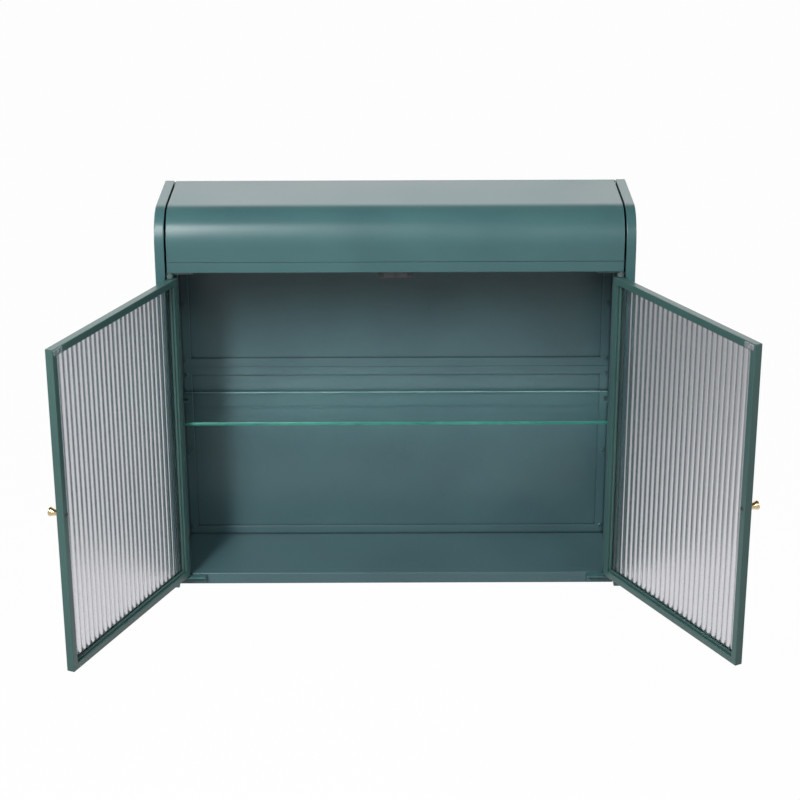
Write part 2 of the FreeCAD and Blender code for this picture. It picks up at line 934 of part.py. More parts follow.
def door_glass(side):
    """Pane that is flat outside and fluted inside."""
    edge_a = side * (hinge_edge - frame_face - glass_edge_gap)
    edge_b = side * (free_edge + frame_face + glass_edge_gap)
    left = min(edge_a, edge_b)
    right = max(edge_a, edge_b)
    pitch = (right - left) / flute_count
    low = door_low + frame_face
    valley = glass_inner - flute_height
    edges = [
        Part.makeLine(vector(left, valley, low), vector(left, glazing_lip_thickness, low)),
        Part.makeLine(vector(left, glazing_lip_thickness, low), vector(right, glazing_lip_thickness, low)),
        Part.makeLine(vector(right, glazing_lip_thickness, low), vector(right, valley, low)),
    ]
    for index in range(flute_count):
        start = right - index * pitch
        crest = vector(start - pitch / 2, glass_inner, low)
        arc = Part.Arc(vector(start, valley, low), crest, vector(start - pitch, valley, low))
        edges.append(arc.toShape())
    pane_height = door_high - door_low - 2 * frame_face - glass_edge_gap
    return Part.Face(Part.Wire(Part.__sortEdges__(edges))).extrude(vector(0, 0, pane_height))


def glazing_beads(side):
    """Four strips, by name, that hold the pane in the rebate from inside."""
    free_x = side * (free_edge + frame_face)
    hinge_x = side * (hinge_edge - frame_face)
    free_in = free_x + side * bead_size
    hinge_in = hinge_x - side * bead_size
    low = door_low + frame_face
    high = door_high - frame_face
    low_in = low + bead_size
    high_in = high - bead_size
    strips = {
        "top_bead": ((free_x, hinge_x), (high_in, high), ("Z", high_in)),
        "bottom_bead": ((free_x, hinge_x), (low, low_in), ("Z", low_in)),
        "hinge_bead": ((hinge_in, hinge_x), (low_in, high_in), ("X", hinge_in)),
        "free_bead": ((free_x, free_in), (low_in, high_in), ("X", free_in)),
    }
    inner_face = bead_front + bead_size
    beads = {}
    for name, (x_span, z_span, glass_side) in strips.items():
        strip = block(x_span, (bead_front, inner_face), z_span)
        beads[name] = rounded(strip, bead_round, glass_side, ("Y", inner_face))
    return beads


def door_knob(side):
    """Turned knob with a foot, a waist and a flared, slightly domed end."""
    flare_start = knob_length - knob_dome - knob_rim
    foot = vector(0, 0, 0)
    profile = [
        foot,
        vector(knob_base_radius, 0, 0),
        vector(knob_base_radius, -knob_base, 0),
        vector(knob_neck_radius, -knob_base, 0),
        vector(knob_neck_radius, -knob_neck_length, 0),
        vector(knob_flare_radius, -flare_start, 0),
        vector(knob_flare_radius, -flare_start - knob_rim, 0),
        vector(0, -knob_length, 0),
        foot,
    ]
    knob = Part.Face(Part.makePolygon(profile)).revolve(foot, vector(0, 1, 0), 360)
    knob.translate(vector(side * knob_x, 0, door_middle))
    seat, way = knob_screw_place(side)
    return knob.cut(screw_hole(seat, way, knob_screw_length(), small_screw_radius))


def strike_plate(side):
    """Steel plate that the catch's magnet holds."""
    seat, way = strike_screw_place(side)
    plate = block(
        (seat.x - strike_length / 2, seat.x + strike_length / 2),
        (door_thickness, door_thickness + strike_thickness),
        (seat.z - strike_height / 2, seat.z + strike_height / 2),
    )
    corners = [edge for edge in plate.Edges if abs(edge.BoundBox.YLength - strike_thickness) < touch]
    plate = plate.makeFillet(strike_round, corners)
    hole = screw_hole(seat, way, strike_screw_length(), small_screw_radius)
    return plate.cut([hole, screw_sink(seat, way, small_screw_radius)])


def door_pieces(side):
    """All pieces of one shut door by name."""
    pieces = door_members(side)
    pieces.update(glazing_beads(side))
    pieces["glass"] = door_glass(side)
    pieces["knob"] = door_knob(side)
    pieces["knob_screw"] = screw(*knob_screw_place(side), knob_screw_length(), small_screw_radius)
    pieces["strike_plate"] = strike_plate(side)
    pieces["strike_screw"] = flush_screw(*strike_screw_place(side), strike_screw_length(), small_screw_radius)
    pieces["top_pin"] = pivot_pin(side, "top")
    pieces["bottom_pin"] = pivot_pin(side, "bottom")
    return pieces


def carcass_pieces():
    """All fixed pieces of the cabinet by name."""
    pieces = {
        "top_cover": top_cover(),
        "ceiling_pan": ceiling_pan(),
        "floor_pan": floor_pan(),
        "lower_back_panel": lower_back_panel(),
        "upper_back_panel": upper_back_panel(),
        "hanging_rail": hanging_rail(),
        "glass_shelf": glass_shelf(),
        "shelf_pegs": shelf_pegs(),
        "shelf_sleeves": shelf_sleeves(),
        "catch_body": catch_body(),
        "catch_magnets": catch_magnets(),
        "catch_screws": catch_screws(),
        "upper_hinge_bushes": upper_bushes(),
        "lower_hinge_bushes": lower_bushes(),
        "hinge_screws": hinge_screws(),
        "pan_screws": pan_screws(),
        "rail_screws": rail_screws(),
        "back_panel_screws": back_panel_screws(),
    }
    for name, side in sides.items():
        pieces[name + "_side_panel"] = side_panel(side)
        pieces[name + "_side_liner"] = side_liner(side)
        pieces[name + "_door_stop"] = door_stop(side)
        pieces[name + "_rear_angle"] = rear_angle(side)
        pieces[name + "_upper_hinge_plate"] = upper_hinge_plate(side)
        pieces[name + "_lower_hinge_bracket"] = lower_hinge_bracket(side)
    return pieces


def as_shape(piece):
    """One shape for a piece or for a group of separate solids."""
    if isinstance(piece, list):
        return Part.makeCompound(piece)
    return piece


def opened(shape, side, angle):
    """Door piece turned about its pivot from shut to the given angle."""
    turned = shape.copy()
    turned.rotate(vector(side * pivot_x, pivot_depth, 0), vector(0, 0, 1), side * angle)
    return turned


def main():
    """Build every piece, open the doors and write one file for each node."""
    os.makedirs("parts", exist_ok=True)
    nodes = {name: as_shape(piece) for name, piece in carcass_pieces().items()}
    open_angles = {"left": left_open_angle, "right": right_open_angle}
    for name, side in sides.items():
        for part_name, piece in door_pieces(side).items():
            nodes[f"{name}_door_{part_name}"] = opened(as_shape(piece), side, open_angles[name])
    for name, shape in nodes.items():
        moved = shape.copy()
        moved.translate(wall_origin.negative())
        moved.exportStep(f"parts/{name}.step")
        print(name, "solids", len(moved.Solids), "valid", moved.isValid(), "volume", round(moved.Volume))


main()
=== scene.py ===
"""Dresses a wall-hung medicine cabinet: painted sheet steel, fluted glass doors, brass knobs and fixings."""

import logging
import math
from dataclasses import dataclass
from enum import Enum
from typing import Any, Optional, Sequence, Union

import bmesh
import bpy
from mathutils import Matrix, Vector


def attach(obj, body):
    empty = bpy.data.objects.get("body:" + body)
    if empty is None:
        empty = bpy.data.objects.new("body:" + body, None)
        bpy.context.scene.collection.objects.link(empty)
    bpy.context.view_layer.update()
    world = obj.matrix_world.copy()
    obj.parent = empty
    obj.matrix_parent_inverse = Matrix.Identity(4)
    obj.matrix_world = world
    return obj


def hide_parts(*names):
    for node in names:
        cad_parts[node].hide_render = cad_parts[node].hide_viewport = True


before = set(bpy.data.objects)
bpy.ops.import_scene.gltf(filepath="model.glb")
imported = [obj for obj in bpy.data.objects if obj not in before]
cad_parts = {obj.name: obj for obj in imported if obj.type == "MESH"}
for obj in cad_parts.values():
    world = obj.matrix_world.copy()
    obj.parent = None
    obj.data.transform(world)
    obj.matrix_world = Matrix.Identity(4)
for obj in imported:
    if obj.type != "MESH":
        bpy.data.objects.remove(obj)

LOG = logging.getLogger("cabinet")
MM = 0.001
CABINET_DEPTH = 180 * MM
BOLT_HEIGHT = 560 * MM
GLASS_INDEX = 1.5
SCREEN_TOE, SCREEN_SLOPE, SCREEN_LIFT, SCREEN_POWER = 0.04045, 12.92, 0.055, 2.4

Point = tuple[float, float, float]
Colour = tuple[float, float, float, float]
Feed = Union[float, int, bool, Sequence[float], str, "Signal", bpy.types.NodeSocket, bpy.types.Material]


def paint(red: int, green: int, blue: int) -> Colour:
    """Turns a screen colour into the linear colour that a shader socket takes.

    Args:
        red: Red from 0 to 255.
        green: Green from 0 to 255.
        blue: Blue from 0 to 255.

    Returns:
        The linear colour, fully opaque.
    """
    shares = (channel / 255 for channel in (red, green, blue))
    linear = [
        s / SCREEN_SLOPE if s <= SCREEN_TOE else ((s + SCREEN_LIFT) / (1 + SCREEN_LIFT)) ** SCREEN_POWER
        for s in shares
    ]
    return (linear[0], linear[1], linear[2], 1.0)


def at(x: float, y: float, z: float) -> Vector:
    """A point in the shared frame, from millimetres right, back from the front and up from the base."""
    return Vector((x * MM, y * MM - CABINET_DEPTH, z * MM - BOLT_HEIGHT))


class Side(Enum):
    """The two hands of the cabinet."""

    LEFT = -1
    RIGHT = 1

    @property
    def word(self) -> str:
        """The hand as the node names spell it."""
        return self.name.lower()


class Body(Enum):
    """The parts that move on their own."""

    CABINET = "cabinet"
    LEFT_DOOR = "left_door"
    RIGHT_DOOR = "right_door"


class Signal:
    """A number that varies over a surface or a mesh, with arithmetic that adds Math nodes."""

    def __init__(self, board: "Board", socket: bpy.types.NodeSocket) -> None:
        """Keeps the output socket and the board it sits on."""
        self.board = board
        self.socket = socket

    def math(self, operation: str, *terms: Feed) -> "Signal":
        """The result of one Math node, from its inputs in order."""
        return self.board.signal("ShaderNodeMath", {"operation": operation}, dict(enumerate(terms)))

    def __add__(self, other: Feed) -> "Signal":
        """Adds a number or another signal."""
        return self.math("ADD", self, other)

    __radd__ = __add__

    def __sub__(self, other: Feed) -> "Signal":
        """Takes a number or another signal away."""
        return self.math("SUBTRACT", self, other)

    def __rsub__(self, other: Feed) -> "Signal":
        """Takes this signal away from a number."""
        return self.math("SUBTRACT", other, self)

    def __mul__(self, other: Feed) -> "Signal":
        """Multiplies by a number or another signal."""
        return self.math("MULTIPLY", self, other)

    def __truediv__(self, other: Feed) -> "Signal":
        """Divides by a number or another signal."""
        return self.math("DIVIDE", self, other)

    def __pow__(self, other: Feed) -> "Signal":
        """Raises this signal to a power."""
        return self.math("POWER", self, other)

    def centred(self) -> "Signal":
        """A noise moved down so that it varies about 0."""
        return self - 0.5

    def eased(self, low: float, high: float) -> "Signal":
        """A fade from 0 at the low value to 1 at the high one, flat at both ends."""
        ends = {"Value": self, "From Min": low, "From Max": high}
        return self.board.signal("ShaderNodeMapRange", {"interpolation_type": "SMOOTHSTEP"}, ends)


class Board:
    """A node tree that is being wired."""

    colour_inputs = (6, 7)
    colour_output = 2

    def __init__(self, tree: bpy.types.NodeTree) -> None:
        """Keeps the tree."""
        self.tree = tree

    def add(
        self,
        kind: str,
        settings: Optional[dict[str, Any]] = None,
        sockets: Optional[dict[Union[str, int], Feed]] = None,
    ) -> bpy.types.Node:
        """Adds one node.

        Args:
            kind: The node's type.
            settings: Its own settings, set before the sockets.
            sockets: The values or links of its inputs, by name or place.

        Returns:
            The new node.
        """
        node = self.tree.nodes.new(kind)
        for name, value in (settings or {}).items():
            setattr(node, name, value)
        for name, value in (sockets or {}).items():
            self.feed(node.inputs[name], value)
        return node

    def signal(
        self,
        kind: str,
        settings: Optional[dict[str, Any]] = None,
        sockets: Optional[dict[Union[str, int], Feed]] = None,
        output: Union[str, int] = 0,
    ) -> Signal:
        """Adds one node and wraps the output that is wanted, by name or place."""
        return Signal(self, self.add(kind, settings, sockets).outputs[output])

    def feed(self, socket: bpy.types.NodeSocket, value: Feed) -> None:
        """Links or sets one input.

        Args:
            socket: The input.
            value: A signal or socket to link, or a plain value.
        """
        if isinstance(value, Signal):
            self.tree.links.new(value.socket, socket)
        elif isinstance(value, bpy.types.NodeSocket):
            self.tree.links.new(value, socket)
        else:
            socket.default_value = value

    def mix_colours(self, share: Feed, first: Feed, second: Feed) -> Signal:
        """A blend of two colours, from the first at a share of 0 to the second at a share of 1."""
        sockets = {"Factor": share, **dict(zip(self.colour_inputs, (first, second)))}
        return self.signal("ShaderNodeMix", {"data_type": "RGBA"}, sockets, self.colour_output)


class MaterialBoard(Board):
    """The node tree of one surface material."""

    corner_samples = 6
    corner_fade = (0.015, 0.2)
    # Samples and fade of the painted shade in inner corners.
    painted_corner_shade_samples = 12
    painted_corner_shade_fade = (0.14, 0.5)

    def __init__(self, name: str) -> None:
        """Starts an empty material.

        Args:
            name: The material's name.
        """
        self.material = bpy.data.materials.new(name)
        self.material.use_nodes = True
        super().__init__(self.material.node_tree)
        self.tree.nodes.clear()

    def place(self) -> bpy.types.NodeSocket:
        """The point on the piece, in metres in the shared frame."""
        return self.add("ShaderNodeTexCoord").outputs["Object"]

    def stretched(self, *scale: float) -> bpy.types.NodeSocket:
        """The point on the piece with each axis scaled, which draws a pattern out into streaks."""
        return self.add("ShaderNodeMapping", None, {"Vector": self.place(), "Scale": scale}).outputs[0]

    def noise(
        self, scale: float, detail: float = 2.0, rough: float = 0.5, where: Optional[Feed] = None
    ) -> Signal:
        """Adds a cloudy pattern.

        Args:
            scale: Clouds to the metre.
            detail: How many finer layers it has.
            rough: How strong the finer layers are.
            where: The coordinates it reads, or the piece's own.

        Returns:
            A value about 0.5.
        """
        sockets = {
            "Vector": self.place() if where is None else where,
            "Scale": scale,
            "Detail": detail,
            "Roughness": rough,
        }
        return self.signal("ShaderNodeTexNoise", None, sockets)

    def bump(self, height: Signal, depth: float, strength: float, base: Optional[Feed] = None) -> Signal:
        """Adds a fine relief.

        Args:
            height: The relief from 0 to 1.
            depth: How deep a full step of it is, in metres.
            strength: How strongly it shows.
            base: The normal it is laid on, or the surface's own.

        Returns:
            The bent normal.
        """
        sockets = {"Height": height, "Distance": depth, "Strength": strength}
        if base is not None:
            sockets["Normal"] = base
        return self.signal("ShaderNodeBump", None, sockets)

    def soft_normal(self, radius: float) -> Signal:
        """The normal as if every corner were rounded a little."""
        return self.signal("ShaderNodeBevel", {"samples": self.corner_samples}, {"Radius": radius})

    def corner(self, soft: Signal) -> Signal:
        """Finds the corners of a piece.

        Args:
            soft: The normal with rounded corners.

        Returns:
            1 along a corner and 0 on flat metal.
        """
        plain = self.add("ShaderNodeNewGeometry").outputs["Normal"]
        dot = self.signal("ShaderNodeVectorMath", {"operation": "DOT_PRODUCT"}, {0: soft, 1: plain}, "Value")
        return (1 - dot).eased(*self.corner_fade)

    def painted_corner_shade(self, reach: float) -> Signal:
        """Paints shade into the inner corners, where the parts around them keep light out.

        Args:
            reach: How far from a corner it looks, in metres.

        Returns:
            1 deep in a corner and 0 on open metal.
        """
        settings = {"samples": self.painted_corner_shade_samples}
        room = self.signal("ShaderNodeAmbientOcclusion", settings, {"Distance": reach}, "AO")
        return (1 - room).eased(*self.painted_corner_shade_fade)

    def close(self, surface: bpy.types.NodeSocket) -> bpy.types.Material:
        """Wires the finished shader to the output and hands over the material."""
        self.add("ShaderNodeOutputMaterial", None, {"Surface": surface})
        return self.material

    def principled(self, sockets: dict[Union[str, int], Feed]) -> bpy.types.NodeSocket:
        """The main shader, from the values or links of its inputs."""
        return self.add("ShaderNodeBsdfPrincipled", None, sockets).outputs[0]

    def lamp_clear(self, surface: bpy.types.NodeSocket, tint: Colour) -> bpy.types.NodeSocket:
        """Lets lamp light pass through glass as it does in life.

        Args:
            surface: The glass shader.
            tint: What the glass leaves of the light.

        Returns:
            The mixed shader.
        """
        lamp = self.add("ShaderNodeLightPath").outputs["Is Shadow Ray"]
        film = self.add("ShaderNodeBsdfTransparent", None, {"Color": tint}).outputs[0]
        return self.add("ShaderNodeMixShader", None, {0: lamp, 1: surface, 2: film}).outputs[0]


@dataclass(frozen=True)
class PowderCoat:
    """Baked paint on folded sheet: a drift of colour, a fine peel, painted highlights along the rims and
    painted shade in the inner corners.
    """

    name: str
    body: Colour
    pale: Colour
    deep: Colour
    shade: Colour
    corner_share: float = 0.14
    shade_share: float = 0.8
    fleck_share: float = 0.3
    fleck_base: float = 0.06
    rough: float = 0.31
    drift_rough: float = 0.12
    fleck_rough: float = 0.1
    rim: float = 0.9 * MM
    painted_corner_shade_reach: float = 7 * MM
    peel_depth: float = 0.03 * MM

    def make(self) -> bpy.types.Material:
        """Builds the material.

        Returns:
            The material.
        """
        board = MaterialBoard(self.name)
        drift = board.noise(scale=6.0, detail=4.0, rough=0.55)
        fleck = board.noise(scale=1400.0, detail=1.0)
        peel = board.noise(scale=420.0, rough=0.45)
        soft = board.soft_normal(self.rim)
        drifted = board.mix_colours(drift.eased(low=0.3, high=0.7), self.deep, self.body)
        flecked = board.mix_colours(fleck.centred() * self.fleck_share + self.fleck_base, drifted, self.pale)
        # Painted shade: inner corners are pulled towards the shade colour, where less light reaches.
        painted_corner_shade = board.painted_corner_shade(self.painted_corner_shade_reach)
        # Painted highlight: outer rims are paled where the light would catch their rounding.
        rim_highlighted = board.mix_colours(board.corner(soft) * (1 - painted_corner_shade) * self.corner_share, flecked, self.pale)
        shader = board.principled({
            "Base Color": board.mix_colours(painted_corner_shade * self.shade_share, rim_highlighted, self.shade),
            "Roughness": self.rough + drift.centred() * self.drift_rough + fleck.centred() * self.fleck_rough,
            "Normal": board.bump(peel, self.peel_depth, strength=0.5, base=soft),
        })
        return board.close(shader)


@dataclass(frozen=True)
class RolledGlass:
    """Cast glass rolled with flutes: grey in its body, with painted shade darkening each valley for the dark
    lines the flutes refract and reflect.
    """

    name: str
    crest: Colour
    valley: Colour
    line_start: float = 0.78
    line_share: float = 0.7
    streak_share: float = 0.5
    rough: float = 0.09
    cloud_rough: float = 0.06
    streak_rough: float = 0.04
    streak_depth: float = 0.05 * MM

    def make(self) -> bpy.types.Material:
        """Builds the material.

        Returns:
            The material.
        """
        board = MaterialBoard(self.name)
        across = board.signal("ShaderNodeAttribute", {"attribute_name": "flute"}, None, "Fac")
        streak = board.noise(scale=160.0, detail=3.0, where=board.stretched(1.0, 1.0, 0.12))
        cloud = board.noise(scale=9.0)
        # Painted shade: the base colour darkens down each flute's valley, standing in for dark refraction and
        # reflection lines.
        valley_shade = across.eased(self.line_start, 1.0) * (self.line_share + streak * self.streak_share)
        glass = board.principled({
            "Base Color": board.mix_colours(valley_shade, self.crest, self.valley),
            "Roughness": self.rough + cloud.centred() * self.cloud_rough + streak * self.streak_rough,
            "IOR": GLASS_INDEX,
            "Transmission Weight": 1.0,
            "Normal": board.bump(streak, self.streak_depth, strength=0.4),
        })
        return board.close(board.lamp_clear(glass, self.crest))


@dataclass(frozen=True)
class FloatGlass:
    """Clear plate glass with a faint green body and a few rub marks."""

    name: str
    body: Colour
    rough: float = 0.01
    rub_rough: float = 0.05

    def make(self) -> bpy.types.Material:
        """Builds the material.

        Returns:
            The material.
        """
        board = MaterialBoard(self.name)
        rub = board.noise(scale=40.0, detail=5.0, rough=0.7)
        glass = board.principled({
            "Base Color": self.body,
            "Roughness": rub.eased(low=0.5, high=0.9) * self.rub_rough + self.rough,
            "IOR": GLASS_INDEX,
            "Transmission Weight": 1.0,
        })
        return board.close(board.lamp_clear(glass, self.body))


@dataclass(frozen=True)
class GroundEdge:
    """The ground edge of plate glass, green where the plate is looked into."""

    name: str
    body: Colour
    pale: Colour
    cloud_share: float = 0.6
    grind_share: float = 0.2
    rough: float = 0.22
    grind_rough: float = 0.12
    grind_depth: float = 0.02 * MM

    def make(self) -> bpy.types.Material:
        """Builds the material.

        Returns:
            The material.
        """
        board = MaterialBoard(self.name)
        grind = board.noise(scale=900.0, detail=3.0, rough=0.6, where=board.stretched(0.05, 0.05, 1.0))
        cloud = board.noise(scale=14.0)
        share = cloud.eased(low=0.35, high=0.75) * self.cloud_share + grind * self.grind_share
        shader = board.principled({
            "Base Color": board.mix_colours(share, self.body, self.pale),
            "Roughness": self.rough + grind * self.grind_rough,
            "Normal": board.bump(grind, self.grind_depth, strength=0.4),
        })
        return board.close(shader)


@dataclass(frozen=True)
class TurnedBrass:
    """Brass off the lathe, with rings that run round the piece."""

    name: str
    body: Colour
    dull: Colour
    tarnish_share: float = 0.55
    ring_share: float = 0.1
    rough: float = 0.1
    ring_rough: float = 0.08
    tarnish_rough: float = 0.06
    ring_depth: float = 0.02 * MM

    def make(self) -> bpy.types.Material:
        """Builds the material.

        Returns:
            The material.
        """
        board = MaterialBoard(self.name)
        grain = board.add("ShaderNodeUVMap").outputs[0]
        along = board.signal("ShaderNodeSeparateXYZ", None, {0: grain}, "Y")
        rings = {"W": along, "Scale": 160.0, "Detail": 3.0}
        ring = board.signal("ShaderNodeTexNoise", {"noise_dimensions": "1D"}, rings)
        tarnish = board.noise(scale=220.0, detail=3.0, rough=0.6)
        share = tarnish.eased(low=0.45, high=0.8) * self.tarnish_share + ring * self.ring_share
        shader = board.principled({
            "Base Color": board.mix_colours(share, self.body, self.dull),
            "Metallic": 1.0,
            "Roughness": self.rough + ring * self.ring_rough + tarnish.centred() * self.tarnish_rough,
            "Normal": board.bump(ring, self.ring_depth, strength=0.5),
        })
        return board.close(shader)


@dataclass(frozen=True)
class PlatedSteel:
    """Zinc-plated steel: bright, with brushed streaks and duller patches."""

    name: str
    body: Colour
    dull: Colour
    rough: float = 0.27
    patch_rough: float = 0.16
    streak_rough: float = 0.1
    patch_share: float = 0.7
    corner_share: float = 0.4
    rim: float = 0.25 * MM
    streak_depth: float = 0.01 * MM

    def make(self) -> bpy.types.Material:
        """Builds the material.

        Returns:
            The material.
        """
        board = MaterialBoard(self.name)
        streak = board.noise(scale=2200.0, where=board.stretched(1.0, 1.0, 0.08))
        patch = board.noise(scale=90.0, detail=4.0, rough=0.6)
        soft = board.soft_normal(self.rim)
        colour = board.mix_colours(patch.eased(low=0.4, high=0.75) * self.patch_share, self.body, self.dull)
        rough = self.rough + patch.centred() * self.patch_rough + streak.centred() * self.streak_rough
        shader = board.principled({
            "Base Color": board.mix_colours(board.corner(soft) * self.corner_share, colour, self.body),
            "Metallic": 1.0,
            "Roughness": rough,
            "Normal": board.bump(streak, self.streak_depth, strength=0.5, base=soft),
        })
        return board.close(shader)


@dataclass(frozen=True)
class GalvanisedSteel:
    """Hot-dipped sheet with its flat crystals of zinc."""

    name: str
    body: Colour
    pale: Colour
    crystals: float = 130.0
    crystal_share: float = 0.6
    stain_share: float = 0.5
    metal: float = 0.85
    rough: float = 0.38
    crystal_rough: float = 0.14
    stain_rough: float = 0.1
    rim: float = 0.6 * MM
    stain_depth: float = 0.05 * MM

    def make(self) -> bpy.types.Material:
        """Builds the material.

        Returns:
            The material.
        """
        board = MaterialBoard(self.name)
        cells = {"Vector": board.place(), "Scale": self.crystals}
        crystal = board.add("ShaderNodeTexVoronoi", None, cells).outputs["Color"]
        share = board.signal("ShaderNodeSeparateXYZ", None, {0: crystal})
        stain = board.noise(scale=16.0, detail=4.0, rough=0.6)
        soft = board.soft_normal(self.rim)
        bloom = share * self.crystal_share + stain.centred() * self.stain_share
        shader = board.principled({
            "Base Color": board.mix_colours(bloom, self.body, self.pale),
            "Metallic": self.metal,
            "Roughness": self.rough + share * self.crystal_rough + stain.centred() * self.stain_rough,
            "Normal": board.bump(stain, self.stain_depth, strength=0.2, base=soft),
        })
        return board.close(shader)


@dataclass(frozen=True)
class MouldedNylon:
    """Moulded plastic with a fine spark-eroded grain."""

    name: str
    body: Colour
    pale: Colour
    flow_share: float = 0.4
    corner_share: float = 0.3
    rough: float = 0.46
    grain_rough: float = 0.2
    rim: float = 0.4 * MM
    grain_depth: float = 0.03 * MM

    def make(self) -> bpy.types.Material:
        """Builds the material.

        Returns:
            The material.
        """
        board = MaterialBoard(self.name)
        grain = board.noise(scale=1800.0, rough=0.6)
        flow = board.noise(scale=60.0, detail=3.0)
        soft = board.soft_normal(self.rim)
        mixed = board.mix_colours(flow.eased(low=0.3, high=0.8) * self.flow_share, self.body, self.pale)
        shader = board.principled({
            "Base Color": board.mix_colours(board.corner(soft) * self.corner_share, mixed, self.pale),
            "Roughness": self.rough + grain.centred() * self.grain_rough,
            "Normal": board.bump(grain, self.grain_depth, strength=0.4, base=soft),
        })
        return board.close(shader)


@dataclass(frozen=True)
class ClearSleeve:
    """Soft clear vinyl that the shelf sits on."""

    name: str
    body: Colour
    dull: Colour
    index: float = 1.45
    clear: float = 0.9
    rough: float = 0.24
    haze_rough: float = 0.2
    haze_depth: float = 0.03 * MM

    def make(self) -> bpy.types.Material:
        """Builds the material.

        Returns:
            The material.
        """
        board = MaterialBoard(self.name)
        haze = board.noise(scale=300.0, detail=3.0, rough=0.6)
        sleeve = board.principled({
            "Base Color": board.mix_colours(haze.eased(low=0.35, high=0.75), self.body, self.dull),
            "Roughness": self.rough + haze * self.haze_rough,
            "IOR": self.index,
            "Transmission Weight": self.clear,
            "Normal": board.bump(haze, self.haze_depth, strength=0.3),
        })
        return board.close(board.lamp_clear(sleeve, self.body))


class Finishes:
    """Every finish on the cabinet, made once."""

    def __init__(self) -> None:
        """Makes the materials."""
        pale, deep, shade = paint(104, 138, 140), paint(56, 92, 95), paint(18, 32, 36)
        self.cabinet_paint = PowderCoat("cabinet_powder_coat", paint(62, 100, 102), pale, deep, shade).make()
        # Painted shade: the inside of the box takes a darker, greyer copy of the cabinet paint for the shade
        # inside it.
        self.shaded_inner_paint = PowderCoat(
            "shaded_inner_powder_coat", paint(66, 94, 99), pale, paint(60, 86, 92), shade
        ).make()
        # Painted shade: the upper hinge plates take a dark copy of the paint so that they merge with the
        # shade under the header.
        self.shaded_hinge_paint = PowderCoat(
            "hinge_plate_painted_shade", paint(34, 48, 50), deep, paint(28, 40, 42), shade
        ).make()
        self.door_paint = PowderCoat(
            "door_powder_coat", paint(61, 95, 90), pale, paint(55, 87, 84), shade, shade_share=0.3
        ).make()
        # The pane's darker valley colour is painted shade.
        self.pane = RolledGlass("fluted_pane_glass", paint(210, 210, 214), paint(106, 112, 119)).make()
        self.shelf = FloatGlass("shelf_plate_glass", paint(238, 245, 244)).make()
        # The edge's green is the glass's own tint, lightened as painted light for the light the plate carries
        # to its edge.
        self.shelf_edge = GroundEdge("shelf_ground_edge", paint(30, 112, 98), paint(70, 152, 136)).make()
        # Painted reflection: the shelf's rear edge takes a grey-teal copy of the ground edge for the back
        # panel that shows in it.
        self.shelf_rear = GroundEdge("shelf_rear_edge", paint(104, 136, 138), paint(128, 160, 160)).make()
        self.brass = TurnedBrass("knob_turned_brass", paint(228, 208, 166), paint(198, 170, 122)).make()
        self.plated = PlatedSteel("plated_fixing_steel", paint(236, 237, 239), paint(204, 207, 212)).make()
        self.dark_steel = PlatedSteel(
            "dark_fixing_steel", paint(84, 84, 86), paint(58, 58, 60), rough=0.44
        ).make()
        self.galvanised = GalvanisedSteel(
            "galvanised_rear_steel", paint(150, 155, 158), paint(190, 194, 196)
        ).make()
        self.bush_nylon = MouldedNylon("hinge_bush_nylon", paint(74, 92, 92), paint(98, 116, 116)).make()
        # The catch's dark plastic, tinted teal and darkened further as painted shade so that it sits in the
        # shade under the header.
        self.shaded_catch_nylon = MouldedNylon("shaded_catch_nylon", paint(36, 43, 43), paint(48, 57, 57)).make()
        self.sleeve = ClearSleeve("peg_sleeve_vinyl", paint(112, 134, 132), paint(90, 112, 110)).make()


